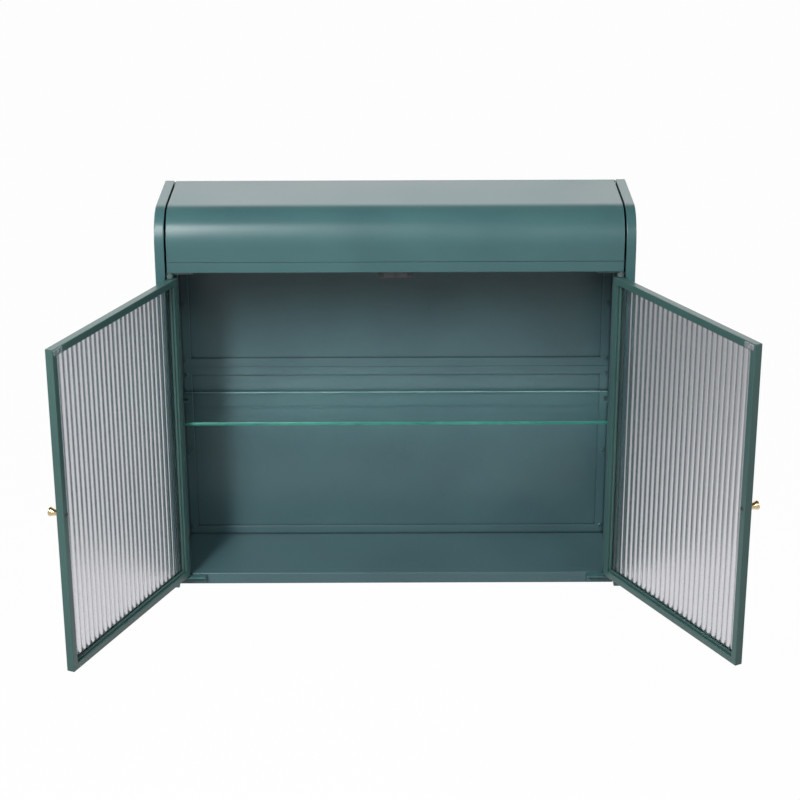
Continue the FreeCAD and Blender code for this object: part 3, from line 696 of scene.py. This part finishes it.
class ShapeBoard(Board):
    """A Geometry Nodes tree that makes one kind of piece from its sizes."""

    def __init__(self, name: str) -> None:
        """Starts an empty tree with a mesh going in and a mesh coming out.

        Args:
            name: The tree's name.
        """
        super().__init__(bpy.data.node_groups.new(name, "GeometryNodeTree"))
        self.tree.interface.new_socket("Mesh", in_out="INPUT", socket_type="NodeSocketGeometry")
        self.tree.interface.new_socket("Mesh", in_out="OUTPUT", socket_type="NodeSocketGeometry")
        self.entry = self.add("NodeGroupInput")

    def size(self, name: str, kind: str = "NodeSocketFloat") -> Signal:
        """Adds a named input of one type of socket."""
        self.tree.interface.new_socket(name, in_out="INPUT", socket_type=kind)
        return Signal(self, self.entry.outputs[name])

    def position(self) -> tuple[Signal, Signal]:
        """Splits the place of each point.

        Returns:
            Its two flat coordinates.
        """
        point = self.add("GeometryNodeInputPosition").outputs[0]
        parts = self.add("ShaderNodeSeparateXYZ", None, {0: point})
        return Signal(self, parts.outputs[0]), Signal(self, parts.outputs[1])

    def joined(self, *meshes: Signal) -> Signal:
        """Joins meshes into one.

        Args:
            meshes: The meshes, in the order they are linked.

        Returns:
            The joined mesh.
        """
        join = self.add("GeometryNodeJoinGeometry")
        for mesh in meshes:
            self.feed(join.inputs[0], mesh)
        return Signal(self, join.outputs[0])

    def moved(self, mesh: Signal, height: Signal) -> Signal:
        """The mesh lifted along its own upright axis."""
        offset = self.signal("ShaderNodeCombineXYZ", None, {2: height})
        return self.signal("GeometryNodeTransform", None, {"Geometry": mesh, "Translation": offset})

    def welded(self, mesh: Signal, gap: float) -> Signal:
        """Joins the points of a mesh that lie within a gap of each other."""
        return self.signal("GeometryNodeMergeByDistance", None, {"Geometry": mesh, "Distance": gap})

    def creased(self, mesh: Feed, angle: float) -> Signal:
        """Shades a mesh smooth except along its sharp corners.

        Args:
            mesh: The mesh.
            angle: The least turn of a sharp corner, in radians.

        Returns:
            The shaded mesh.
        """
        sockets = {"Geometry": mesh, "Shade Smooth": True}
        smooth = self.signal("GeometryNodeSetShadeSmooth", {"domain": "FACE"}, sockets)
        turn = self.signal("GeometryNodeInputMeshEdgeAngle")
        sharp = turn.math("GREATER_THAN", turn, angle)
        sockets = {"Geometry": smooth, "Selection": sharp, "Shade Smooth": False}
        return self.signal("GeometryNodeSetShadeSmooth", {"domain": "EDGE"}, sockets)

    def close(self, mesh: Feed, material: Feed) -> bpy.types.NodeTree:
        """Ends the tree as one plain mesh with its finish.

        Args:
            mesh: The geometry.
            material: The finish.

        Returns:
            The tree.
        """
        real = self.signal("GeometryNodeRealizeInstances", None, {0: mesh})
        dressed = self.signal("GeometryNodeSetMaterial", None, {"Geometry": real, "Material": material})
        self.add("NodeGroupOutput", None, {0: dressed})
        return self.tree


def grow(tree: bpy.types.NodeTree, seed: bpy.types.Mesh, sizes: dict[str, Any]) -> bpy.types.Mesh:
    """Runs a Geometry Nodes tree and keeps its result as a plain mesh.

    Args:
        tree: The tree.
        seed: The mesh it starts from.
        sizes: The values of its named inputs.

    Returns:
        The finished mesh.
    """
    holder = bpy.data.objects.new("holder", seed)
    modifier = holder.modifiers.new("shape", "NODES")
    modifier.node_group = tree
    for socket in tree.interface.items_tree:
        if socket.item_type == "SOCKET" and socket.in_out == "INPUT" and socket.name in sizes:
            modifier[socket.identifier] = sizes[socket.name]
    bpy.context.scene.collection.objects.link(holder)
    shown = holder.evaluated_get(bpy.context.evaluated_depsgraph_get())
    mesh = bpy.data.meshes.new_from_object(shown)
    holder.modifiers.remove(modifier)
    bpy.data.objects.remove(holder)
    return mesh


def stand(name: str, mesh: bpy.types.Mesh, body: Body, slot: str, *nodes: str) -> bpy.types.Object:
    """Puts a finished mesh in the scene in place of its solids.

    Args:
        name: The piece's name.
        mesh: Its mesh, already in place.
        body: The body it moves with.
        slot: The record's material slot; not used.
        nodes: The solids it stands for.

    Returns:
        The piece.
    """
    mesh.name = name
    piece = bpy.data.objects.new(name, mesh)
    bpy.context.scene.collection.objects.link(piece)
    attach(piece, body.value)
    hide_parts(*nodes)
    LOG.info("%s: %d faces, rides on %s", name, len(mesh.polygons), body.value)
    return piece


def dress(material: bpy.types.Material, *nodes: str) -> None:
    """Gives solids that stay their finish.

    Args:
        material: The finish.
        nodes: The solids' names.
    """
    for node in nodes:
        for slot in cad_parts[node].material_slots:
            slot.material = material
        LOG.info("%s: %s", node, material.name)


class FlutedPaneShape:
    """The rule of a fluted pane: a plate with a row of even round flutes on one face."""

    rows = 13
    weld = 0.002 * MM
    crease = 1.2

    def __init__(self) -> None:
        """Builds the tree."""
        board = ShapeBoard("fluted_pane")
        width, height = board.size("Width"), board.size("Height")
        body, rise = board.size("Body"), board.size("Rise")
        count, steps = board.size("Flutes", "NodeSocketInt"), board.size("Steps", "NodeSocketInt")
        glass = board.size("Glass", "NodeSocketMaterial")
        columns = count * steps + 1
        sizes = {"Size X": width, "Size Y": height, "Vertices X": columns, "Vertices Y": self.rows}
        plate = board.signal("GeometryNodeMeshGrid", None, sizes)
        sockets = {"Mesh": plate, "Offset Scale": body, "Individual": False}
        raised = board.add("GeometryNodeExtrudeMesh", None, sockets)
        x, _ = board.position()
        flute = (x / width + 0.5) * count
        across = flute.math("ABSOLUTE", flute.math("FRACT", flute) * 2 - 1)
        hump = board.signal("ShaderNodeCombineXYZ", None, {2: (1 - across * across) * rise})
        sockets = {"Geometry": raised.outputs["Mesh"], "Selection": raised.outputs["Top"], "Offset": hump}
        fluted = board.signal("GeometryNodeSetPosition", None, sockets)
        back = board.signal("GeometryNodeFlipFaces", None, {0: plate})
        whole = board.welded(board.joined(fluted, back), self.weld)
        sockets = {"Geometry": whole, "Name": "flute", "Value": across}
        settings = {"data_type": "FLOAT", "domain": "POINT"}
        marked = board.signal("GeometryNodeStoreNamedAttribute", settings, sockets)
        self.tree = board.close(board.creased(marked, self.crease), glass)


class ScrewShape:
    """The rule of a set of screws: one cross-recessed head and shank on every marked point."""

    recess = ((1.15, 0.24), (0.24, 1.15))
    recess_height = 1.3
    recess_lift = 1.05
    shank_sides = 20
    shank_overlap = 0.1
    twist_seed = 7
    head_columns = 37
    head_rows = 14
    seat_rows = 2
    dome_power = 0.45
    lift_power = 0.8
    weld = 0.01 * MM
    crease = 0.6

    def __init__(self) -> None:
        """Builds the tree."""
        board = ShapeBoard("screw_set")
        seats = Signal(board, board.entry.outputs[0])
        radius, height = board.size("Head Radius"), board.size("Head Height")
        shank, length = board.size("Shank Radius"), board.size("Shank Length")
        steel = board.size("Steel", "NodeSocketMaterial")
        head = self.turned_head(board, radius, height)
        bits = []
        for long, wide in self.recess:
            sides = {0: radius * long, 1: radius * wide, 2: height * self.recess_height}
            size = board.signal("ShaderNodeCombineXYZ", None, sides)
            bit = board.signal("GeometryNodeMeshCube", None, {"Size": size})
            bits.append(board.moved(bit, height * self.recess_lift))
        cut = {"Mesh 1": head, "Mesh 2": board.joined(*bits), "Self Intersection": True}
        driven = board.signal("GeometryNodeMeshBoolean", {"operation": "DIFFERENCE", "solver": "EXACT"}, cut)
        sizes = {"Vertices": self.shank_sides, "Radius": shank, "Depth": length}
        stem = board.signal("GeometryNodeMeshCylinder", None, sizes)
        stem = board.moved(stem, length * -0.5 + height * self.shank_overlap)
        screw = board.joined(driven, stem)
        vector = {"data_type": "FLOAT_VECTOR"}
        outward = board.signal("GeometryNodeInputNamedAttribute", vector, {"Name": "outward"})
        faced = board.signal("FunctionNodeAlignRotationToVector", {"axis": "Z"}, {"Vector": outward})
        half_turn = {"Max": math.pi, "Seed": self.twist_seed}
        turn = board.signal("FunctionNodeRandomValue", {"data_type": "FLOAT"}, half_turn, 1)
        upright = {"Axis": (0.0, 0.0, 1.0), "Angle": turn}
        twist = board.signal("FunctionNodeAxisAngleToRotation", None, upright)
        sockets = {"Rotation": faced, "Rotate By": twist}
        faced = board.signal("FunctionNodeRotateRotation", {"rotation_space": "LOCAL"}, sockets)
        sockets = {"Points": seats, "Instance": screw, "Rotation": faced}
        placed = board.signal("GeometryNodeInstanceOnPoints", None, sockets)
        real = board.signal("GeometryNodeRealizeInstances", None, {0: placed})
        self.tree = board.close(board.creased(real, self.crease), steel)

    def turned_head(self, board: ShapeBoard, radius: Signal, height: Signal) -> Signal:
        """Turns a closed pan head about its own axis.

        Args:
            board: The tree.
            radius: The head's radius.
            height: The head's height.

        Returns:
            The head, standing on its seat.
        """
        sizes = {"Size X": 1.0, "Size Y": 1.0, "Vertices X": self.head_columns, "Vertices Y": self.head_rows}
        sheet = board.signal("GeometryNodeMeshGrid", None, sizes)
        u, v = board.position()
        turn = (u + 0.5) * (2 * math.pi)
        seat = self.seat_rows / (self.head_rows - 1)
        above = v + 0.5 - seat
        rise = above.math("MAXIMUM", above, 0.0) * (math.pi / 2 / (1 - seat))
        dome = rise.math("MAXIMUM", rise.math("COSINE", rise), 0.0) ** self.dome_power
        reach = dome.math("MINIMUM", dome, (v + 0.5) / seat) * radius
        lift = rise.math("SINE", rise) ** self.lift_power * height
        spot = {0: reach * turn.math("COSINE", turn), 1: reach * turn.math("SINE", turn), 2: lift}
        point = board.signal("ShaderNodeCombineXYZ", None, spot)
        turned = board.signal("GeometryNodeSetPosition", None, {"Geometry": sheet, "Position": point})
        return board.welded(turned, self.weld)


@dataclass
class ScrewGroup:
    """One set of like screws.

    Attributes:
        node: The solid that the set stands for.
        radius: The shank's radius in millimetres.
        length: The shank's length below its seat in millimetres.
        seats: Each seat's place in millimetres.
        outward: The way that each head faces.
        slot: The record's material slot.
        head_radius: The head's radius against the shank's.
        head_height: The head's height against the shank's radius.
    """

    node: str
    radius: float
    length: float
    seats: list[Point]
    outward: list[Point]
    slot: str = "bright_steel"
    head_radius: float = 1.75
    head_height: float = 0.9

    def build(self, shape: ScrewShape, steel: bpy.types.Material) -> bpy.types.Object:
        """Makes the set as one mesh.

        Args:
            shape: The rule of a screw.
            steel: The finish.

        Returns:
            The piece.
        """
        seed = bpy.data.meshes.new(self.node)
        seed.from_pydata([at(*seat) for seat in self.seats], [], [])
        facing = seed.attributes.new("outward", "FLOAT_VECTOR", "POINT")
        for entry, way in zip(facing.data, self.outward):
            entry.vector = way
        sizes = {
            "Head Radius": self.radius * self.head_radius * MM,
            "Head Height": self.radius * self.head_height * MM,
            "Shank Radius": self.radius * MM,
            "Shank Length": self.length * MM,
            "Steel": steel,
        }
        mesh = grow(shape.tree, seed, sizes)
        return stand(self.node + "_set", mesh, Body.CABINET, self.slot, self.node)


@dataclass
class Shell:
    """The fixed sheet-metal box: sides, cover, pans, backs, liners and the strips that carry the rest."""

    outside: tuple[str, ...] = ("top_cover", "ceiling_pan")
    inside: tuple[str, ...] = ("floor_pan", "lower_back_panel", "upper_back_panel")
    outside_pairs: tuple[str, ...] = ("side_panel", "lower_hinge_bracket")
    inside_pairs: tuple[str, ...] = ("side_liner", "door_stop")

    def dress(self, finishes: Finishes) -> None:
        """Paints the sheet metal and leaves the hidden rear steel bare.

        Args:
            finishes: The cabinet's finishes.
        """
        dress(finishes.cabinet_paint, *self.outside)
        # The inside of the box takes the shaded copy of the paint.
        dress(finishes.shaded_inner_paint, *self.inside)
        for side in Side:
            dress(finishes.cabinet_paint, *(f"{side.word}_{piece}" for piece in self.outside_pairs))
            # The liners and door stops inside take the shaded copy too.
            dress(finishes.shaded_inner_paint, *(f"{side.word}_{piece}" for piece in self.inside_pairs))
            # The upper hinge plates are darkened as painted shade.
            dress(finishes.shaded_hinge_paint, f"{side.word}_upper_hinge_plate")
            dress(finishes.galvanised, f"{side.word}_rear_angle")
        dress(finishes.galvanised, "hanging_rail")


@dataclass
class Shelf:
    """The plate-glass shelf on its pegs, in millimetres."""

    half_width: float = 332.5
    front: float = 30.0
    rear: float = 157.5
    underside: float = 258.25
    thickness: float = 5.0
    corner: float = 3.0
    corner_steps: int = 4
    arris: float = 0.9
    arris_steps: int = 3
    flat: float = 0.999
    rearward: float = 0.7

    def build(self, finishes: Finishes) -> bpy.types.Object:
        """Grinds the plate's arrises, gives its front and side edges the green of thick glass and its rear
        edge a painted reflection of the back panel.

        Args:
            finishes: The cabinet's finishes.

        Returns:
            The piece.
        """
        shape = bmesh.new()
        bmesh.ops.create_cube(shape, size=1.0)
        size = Vector((2 * self.half_width, self.rear - self.front, self.thickness)) * MM
        middle = at(0.0, (self.front + self.rear) / 2, self.underside + self.thickness / 2)
        bmesh.ops.transform(shape, matrix=Matrix.LocRotScale(middle, None, size), verts=shape.verts)
        half = self.thickness * MM / 2
        uprights = [e for e in shape.edges if abs((e.verts[0].co - e.verts[1].co).z) > half]
        rounding = {"affect": "EDGES", "profile": 0.5}
        bmesh.ops.bevel(shape, geom=uprights, offset=self.corner * MM, segments=self.corner_steps, **rounding)
        rims = [e for e in shape.edges if len({round(f.normal.z) for f in e.link_faces}) == 2]
        bmesh.ops.bevel(shape, geom=rims, offset=self.arris * MM, segments=self.arris_steps, **rounding)
        bmesh.ops.recalc_face_normals(shape, faces=shape.faces)
        for face in shape.faces:
            face.smooth = abs(face.normal.z) < self.flat
            # Rear-facing edge faces take the painted reflection; the other edge faces take the green edge.
            face.material_index = 1 + int(face.normal.y > self.rearward) if face.smooth else 0
        mesh = bpy.data.meshes.new("glass_shelf")
        shape.to_mesh(mesh)
        shape.free()
        for finish in (finishes.shelf, finishes.shelf_edge, finishes.shelf_rear):
            mesh.materials.append(finish)
        return stand("plate_glass_shelf", mesh, Body.CABINET, "shelf_glass", "glass_shelf")

    @staticmethod
    def dress(finishes: Finishes) -> None:
        """Finishes the pegs and their sleeves."""
        dress(finishes.plated, "shelf_pegs")
        dress(finishes.sleeve, "shelf_sleeves")


@dataclass
class Fixings:
    """The screws, bushes and catch of the fixed box, in millimetres.

    The two numbers of a screw are its shank's radius and length.
    """

    back_screw: tuple[float, float] = (2.0, 5.0)
    back_border: float = 327.75
    back_face: float = 160.0
    back_rows: tuple[float, ...] = (29.0, 160.1, 291.25, 317.25, 407.4, 497.5)
    pan_screw: tuple[float, float] = (2.0, 4.0)
    pan_flange: float = 334.0
    pan_depths: tuple[float, ...] = (22.0, 149.0)
    pan_heights: tuple[float, ...] = (8.0, 518.5)
    rail_screw: tuple[float, float] = (2.0, 4.0)
    rail_end: float = 333.2
    rail_face: float = 164.0
    rail_heights: tuple[float, ...] = (547.65, 577.65)
    catch_screw: tuple[float, float] = (1.5, 16.0)
    catch_hole: float = 22.6
    catch_depth: float = 21.0
    catch_seat: float = 496.5

    @staticmethod
    def inward(seats: list[Point]) -> list[Point]:
        """The way from each seat towards the middle of the cabinet."""
        return [(-math.copysign(1.0, x), 0.0, 0.0) for x, _, _ in seats]

    def screw_groups(self) -> list[ScrewGroup]:
        """Lists the sets of like screws.

        Returns:
            The sets, each with its seats.
        """
        hands = [side.value for side in Side]
        backs = [(hand * self.back_border, self.back_face, z) for hand in hands for z in self.back_rows]
        flanges = [(hand * self.pan_flange, y) for hand in hands for y in self.pan_depths]
        pans = [(x, y, z) for x, y in flanges for z in self.pan_heights]
        rails = [(hand * self.rail_end, self.rail_face, z) for hand in hands for z in self.rail_heights]
        catches = [(hand * self.catch_hole, self.catch_depth, self.catch_seat) for hand in hands]
        forward, down = [(0.0, -1.0, 0.0)], [(0.0, 0.0, -1.0)]
        return [
            ScrewGroup("back_panel_screws", *self.back_screw, backs, forward * len(backs), "cabinet_paint"),
            ScrewGroup("pan_screws", *self.pan_screw, pans, self.inward(pans)),
            ScrewGroup("rail_screws", *self.rail_screw, rails, self.inward(rails)),
            ScrewGroup("catch_screws", *self.catch_screw, catches, down * len(catches)),
        ]

    def build(self, finishes: Finishes) -> None:
        """Makes the sets of screws.

        Args:
            finishes: The cabinet's finishes.
        """
        shape = ScrewShape()
        for group in self.screw_groups():
            painted = group.slot == "cabinet_paint"
            group.build(shape, finishes.cabinet_paint if painted else finishes.plated)

    @staticmethod
    def dress(finishes: Finishes) -> None:
        """Finishes the bushes, the hinge screws and the catch.

        Args:
            finishes: The cabinet's finishes.
        """
        dress(finishes.bush_nylon, "upper_hinge_bushes", "lower_hinge_bushes")
        # The catch body's colour is painted shade for the shade under the header.
        dress(finishes.shaded_catch_nylon, "catch_body")
        dress(finishes.dark_steel, "catch_magnets")
        dress(finishes.cabinet_paint, "hinge_screws")


@dataclass
class Door:
    """One glazed door, built shut in millimetres and then swung to where it stands."""

    side: Side
    swing: float
    pivot_x: float = 329.0
    pivot_y: float = 3.2
    glass_near: float = 11.5
    glass_far: float = 322.7
    glass_low: float = 28.4
    glass_high: float = 491.5
    glass_face: float = 1.5
    glass_body: float = 2.7
    flute_rise: float = 1.3
    flutes: int = 27
    flute_steps: int = 16
    knob_x: float = 8.0
    knob_z: float = 260.2
    knob_steps: int = 64
    knob_crease: float = 38.0
    knob_grain: float = 20.0
    knob_profile: tuple[tuple[float, float], ...] = (
        (0.0, 0.0), (4.9, 0.0), (5.2, 0.3), (5.2, 1.3), (4.95, 1.6), (4.5, 1.85), (4.32, 2.4), (4.3, 3.4),
        (4.42, 4.6), (4.75, 6.2), (5.2, 8.2), (5.75, 10.4), (6.35, 12.3), (6.62, 12.75), (6.7, 13.05),
        (6.7, 13.8), (6.45, 14.2), (5.6, 14.5), (4.2, 14.75), (2.4, 14.93), (0.0, 15.0),
    )

    @property
    def body(self) -> Body:
        """The body that the door's pieces move with."""
        return Body.LEFT_DOOR if self.side is Side.LEFT else Body.RIGHT_DOOR

    def node(self, piece: str) -> str:
        """The full name of one of the door's solids."""
        return f"{self.side.word}_door_{piece}"

    def swung(self) -> Matrix:
        """Works out the turn about the pivots from shut to where the door stands.

        Returns:
            The turn in the shared frame.
        """
        pivot = at(self.side.value * self.pivot_x, self.pivot_y, 0.0)
        turn = Matrix.Rotation(math.radians(self.side.value * self.swing), 4, "Z")
        return Matrix.Translation(pivot) @ turn @ Matrix.Translation(-pivot)

    def build_pane(self, shape: FlutedPaneShape, finishes: Finishes) -> bpy.types.Object:
        """Rolls the fluted pane.

        Args:
            shape: The rule of a fluted pane.
            finishes: The cabinet's finishes.

        Returns:
            The piece.
        """
        sizes = {
            "Width": (self.glass_far - self.glass_near) * MM,
            "Height": (self.glass_high - self.glass_low) * MM,
            "Body": self.glass_body * MM,
            "Rise": self.flute_rise * MM,
            "Flutes": self.flutes,
            "Steps": self.flute_steps,
            "Glass": finishes.pane,
        }
        mesh = grow(shape.tree, bpy.data.meshes.new("pane"), sizes)
        upright = Matrix(((-1, 0, 0, 0), (0, 0, 1, 0), (0, 1, 0, 0), (0, 0, 0, 1)))
        middle_x = self.side.value * (self.glass_near + self.glass_far) / 2
        middle = at(middle_x, self.glass_face, (self.glass_low + self.glass_high) / 2)
        mesh.transform(self.swung() @ Matrix.Translation(middle) @ upright)
        return stand(self.node("fluted_pane"), mesh, self.body, "fluted_glass", self.node("glass"))

    def build_knob(self, finishes: Finishes) -> bpy.types.Object:
        """Turns the flared knob on a lathe.

        Args:
            finishes: The cabinet's finishes.

        Returns:
            The piece.
        """
        steps = self.knob_steps
        shape = bmesh.new()
        grain = shape.loops.layers.uv.new("UVMap")
        rings = []
        for radius, reach in self.knob_profile:
            angles = [math.tau * step / steps for step in range(steps)] if radius else [0.0]
            ring = [Vector((radius * math.cos(a), -reach, radius * math.sin(a))) * MM for a in angles]
            rings.append([shape.verts.new(spot) for spot in ring])
        for lower, upper in zip(rings, rings[1:]):
            for step in range(steps):
                after = (step + 1) % steps
                corners = [lower[step % len(lower)], lower[after % len(lower)]]
                corners += [upper[after % len(upper)], upper[step % len(upper)]]
                face = shape.faces.new(list(dict.fromkeys(corners)))
                face.smooth = True
        bmesh.ops.recalc_face_normals(shape, faces=shape.faces)
        for face in shape.faces:
            for loop in face.loops:
                spot = loop.vert.co
                round_share = math.atan2(spot.z, spot.x) / math.tau + 0.5
                loop[grain].uv = (round_share, -spot.y / (self.knob_grain * MM))
        mesh = bpy.data.meshes.new("knob")
        shape.to_mesh(mesh)
        shape.free()
        mesh.set_sharp_from_angle(angle=math.radians(self.knob_crease))
        seat = at(self.side.value * self.knob_x, 0.0, self.knob_z)
        mesh.transform(self.swung() @ Matrix.Translation(seat))
        mesh.materials.append(finishes.brass)
        return stand(self.node("turned_knob"), mesh, self.body, "brass", self.node("knob"))

    def dress(self, finishes: Finishes) -> None:
        """Paints the frame and finishes the fittings.

        Args:
            finishes: The cabinet's finishes.
        """
        members = ("top_rail", "bottom_rail", "hinge_stile", "free_stile")
        beads = ("top_bead", "bottom_bead", "hinge_bead", "free_bead")
        dress(finishes.door_paint, *(self.node(piece) for piece in members + beads))
        fittings = ("strike_plate", "strike_screw", "top_pin", "bottom_pin")
        dress(finishes.plated, *(self.node(piece) for piece in fittings))
        dress(finishes.dark_steel, self.node("knob_screw"))


@dataclass(frozen=True)
class Lamp:
    """One soft lamp.

    Attributes:
        name: The lamp's name.
        place: Where it hangs.
        target: What it points at.
        size: Its width and height.
        power: Its power in watts.
        spread: How wide its beam opens, in degrees.
    """

    name: str
    place: Point
    target: Point
    size: tuple[float, float]
    power: float
    spread: float = 180.0

    def hang(self) -> None:
        """Hangs the lamp, unseen by the camera and through glass."""
        light = bpy.data.lights.new(self.name, "AREA")
        light.shape = "RECTANGLE"
        light.size, light.size_y = self.size
        light.energy = self.power
        light.spread = math.radians(self.spread)
        lamp = bpy.data.objects.new(self.name, light)
        lamp.location = self.place
        way = Vector(self.target) - Vector(self.place)
        lamp.rotation_euler = way.to_track_quat("-Z", "Y").to_euler()
        lamp.visible_camera = lamp.visible_transmission = False
        bpy.context.scene.collection.objects.link(lamp)


@dataclass
class Studio:
    """The floor, the lights and the camera, in metres and degrees."""

    camera_place: Point = (0.0036, -3.0467, 0.8865)
    lens: float = 92.95
    sensor: float = 36.0
    pitch: float = 21.61
    yaw: float = 0.05
    roll: float = -0.19
    white: Colour = (1.0, 1.0, 1.0, 1.0)
    sky: float = 0.13
    mirrored: float = 0.62
    overhead_fade: tuple[float, float] = (0.42, 0.62)
    overhead_shade: float = 0.9
    floor_height: float = -1.86
    floor_reach: float = 30.0
    floor_colour: Colour = (0.86, 0.86, 0.86, 1.0)
    floor_white: float = 0.98
    near_spot: tuple[float, float] = (-2.5, 1.0)
    far_fade: tuple[float, float] = (3.4, 4.7)
    far_shade: float = 0.55
    lamps: tuple[Lamp, ...] = (
        Lamp("key_lamp", (-1.18, -2.40, 1.86), (-0.2, -0.1, -0.2), (0.5, 1.9), 26.5, 84.0),
        Lamp("left_lamp", (-2.4, 0.9, -0.3), (-0.3, -0.1, -0.28), (1.2, 0.9), 36.0),
        Lamp("right_lamp", (2.4, 0.9, -0.3), (0.3, -0.1, -0.28), (1.2, 0.9), 40.0),
        Lamp("rear_lamp", (0.0, 2.6, 1.1), (0.0, 0.0, -0.1), (4.0, 1.4), 20.0),
        Lamp("fill_lamp", (1.4, -2.3, 1.5), (-0.3, -0.05, -0.42), (1.0, 0.6), 1.5, 40.0),
    )

    def build(self) -> None:
        """Sets up the room."""
        bpy.context.scene.view_settings.view_transform = "Standard"
        self.hang_sky()
        self.lay_floor()
        for lamp in self.lamps:
            lamp.hang()
        self.stand_camera()

    def seen(self, board: Board) -> Signal:
        """Tells looking from lighting.

        Args:
            board: The node tree of the sky or the floor.

        Returns:
            1 for what the camera and the glass look at, less for gloss, and 0 for the light on the object.
        """
        path = board.add("ShaderNodeLightPath")
        camera, gloss = (Signal(board, path.outputs[f"Is {kind} Ray"]) for kind in ("Camera", "Glossy"))
        either = camera.math("MAXIMUM", camera, gloss * self.mirrored)
        return either.math("MAXIMUM", either, path.outputs["Is Transmission Ray"])

    def hang_sky(self) -> None:
        """Makes the white surroundings, which light the object more softly than they look."""
        world = bpy.data.worlds.new("studio_white")
        world.use_nodes = True
        bpy.context.scene.world = world
        board = Board(world.node_tree)
        world.node_tree.nodes.clear()
        way = board.add("ShaderNodeTexCoord").outputs["Generated"]
        overhead = board.signal("ShaderNodeSeparateXYZ", None, {0: way}, "Z").eased(*self.overhead_fade)
        gloss = board.add("ShaderNodeLightPath").outputs["Is Glossy Ray"]
        dimmed = 1 - overhead * gloss * self.overhead_shade
        level = self.sky + self.seen(board) * (dimmed - self.sky)
        sky = board.signal("ShaderNodeBackground", None, {"Color": self.white, "Strength": level})
        board.add("ShaderNodeOutputWorld", None, {"Surface": sky})

    def lay_floor(self) -> None:
        """Lays a pale floor below the cabinet, with painted shade on its far right that only rays through the
        glass see.
        """
        mesh = bpy.data.meshes.new("floor")
        signs = ((-1, -1), (1, -1), (1, 1), (-1, 1))
        corners = [(x * self.floor_reach, y * self.floor_reach, self.floor_height) for x, y in signs]
        mesh.from_pydata(corners, [], [(0, 1, 2, 3)])
        board = MaterialBoard("floor_white")
        matt = board.add("ShaderNodeBsdfDiffuse", None, {"Color": self.floor_colour}).outputs[0]
        white = board.add("ShaderNodeEmission", None, {"Color": self.white, "Strength": 1.0}).outputs[0]
        ends = {0: board.place(), 1: (*self.near_spot, self.floor_height)}
        far = board.signal("ShaderNodeVectorMath", {"operation": "DISTANCE"}, ends, "Value")
        through = board.signal("ShaderNodeLightPath", output="Is Transmission Ray")
        # Painted shade: the floor greys towards its far right, only for rays that come through glass.
        shade = through * far.eased(*self.far_fade) * self.far_shade
        sockets = {0: self.seen(board) * self.floor_white - shade, 1: matt, 2: white}
        mesh.materials.append(board.close(board.add("ShaderNodeMixShader", None, sockets).outputs[0]))
        floor = bpy.data.objects.new("floor", mesh)
        bpy.context.scene.collection.objects.link(floor)

    def stand_camera(self) -> None:
        """Stands the camera a little above the cabinet, looking down on it."""
        view = bpy.data.cameras.new("camera")
        view.lens = self.lens
        view.sensor_width = self.sensor
        camera = bpy.data.objects.new("camera", view)
        tilt = Matrix.Rotation(math.radians(90 - self.pitch), 4, "X")
        heading = Matrix.Rotation(-math.radians(self.yaw), 4, "Z")
        lean = Matrix.Rotation(math.radians(self.roll), 4, "Z")
        camera.matrix_world = Matrix.Translation(self.camera_place) @ heading @ tilt @ lean
        bpy.context.scene.collection.objects.link(camera)
        bpy.context.scene.camera = camera


def main() -> None:
    """Builds and dresses every sub-assembly, then the room."""
    logging.basicConfig(level=logging.INFO, format="%(name)s: %(message)s")
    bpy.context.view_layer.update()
    finishes = Finishes()
    Shell().dress(finishes)
    shelf = Shelf()
    shelf.build(finishes)
    shelf.dress(finishes)
    fixings = Fixings()
    fixings.build(finishes)
    fixings.dress(finishes)
    pane_shape = FlutedPaneShape()
    for door in (Door(Side.LEFT, swing=114.0), Door(Side.RIGHT, swing=118.7)):
        door.build_pane(pane_shape, finishes)
        door.build_knob(finishes)
        door.dress(finishes)
    Studio().build()


if __name__ == "__main__":
    main()
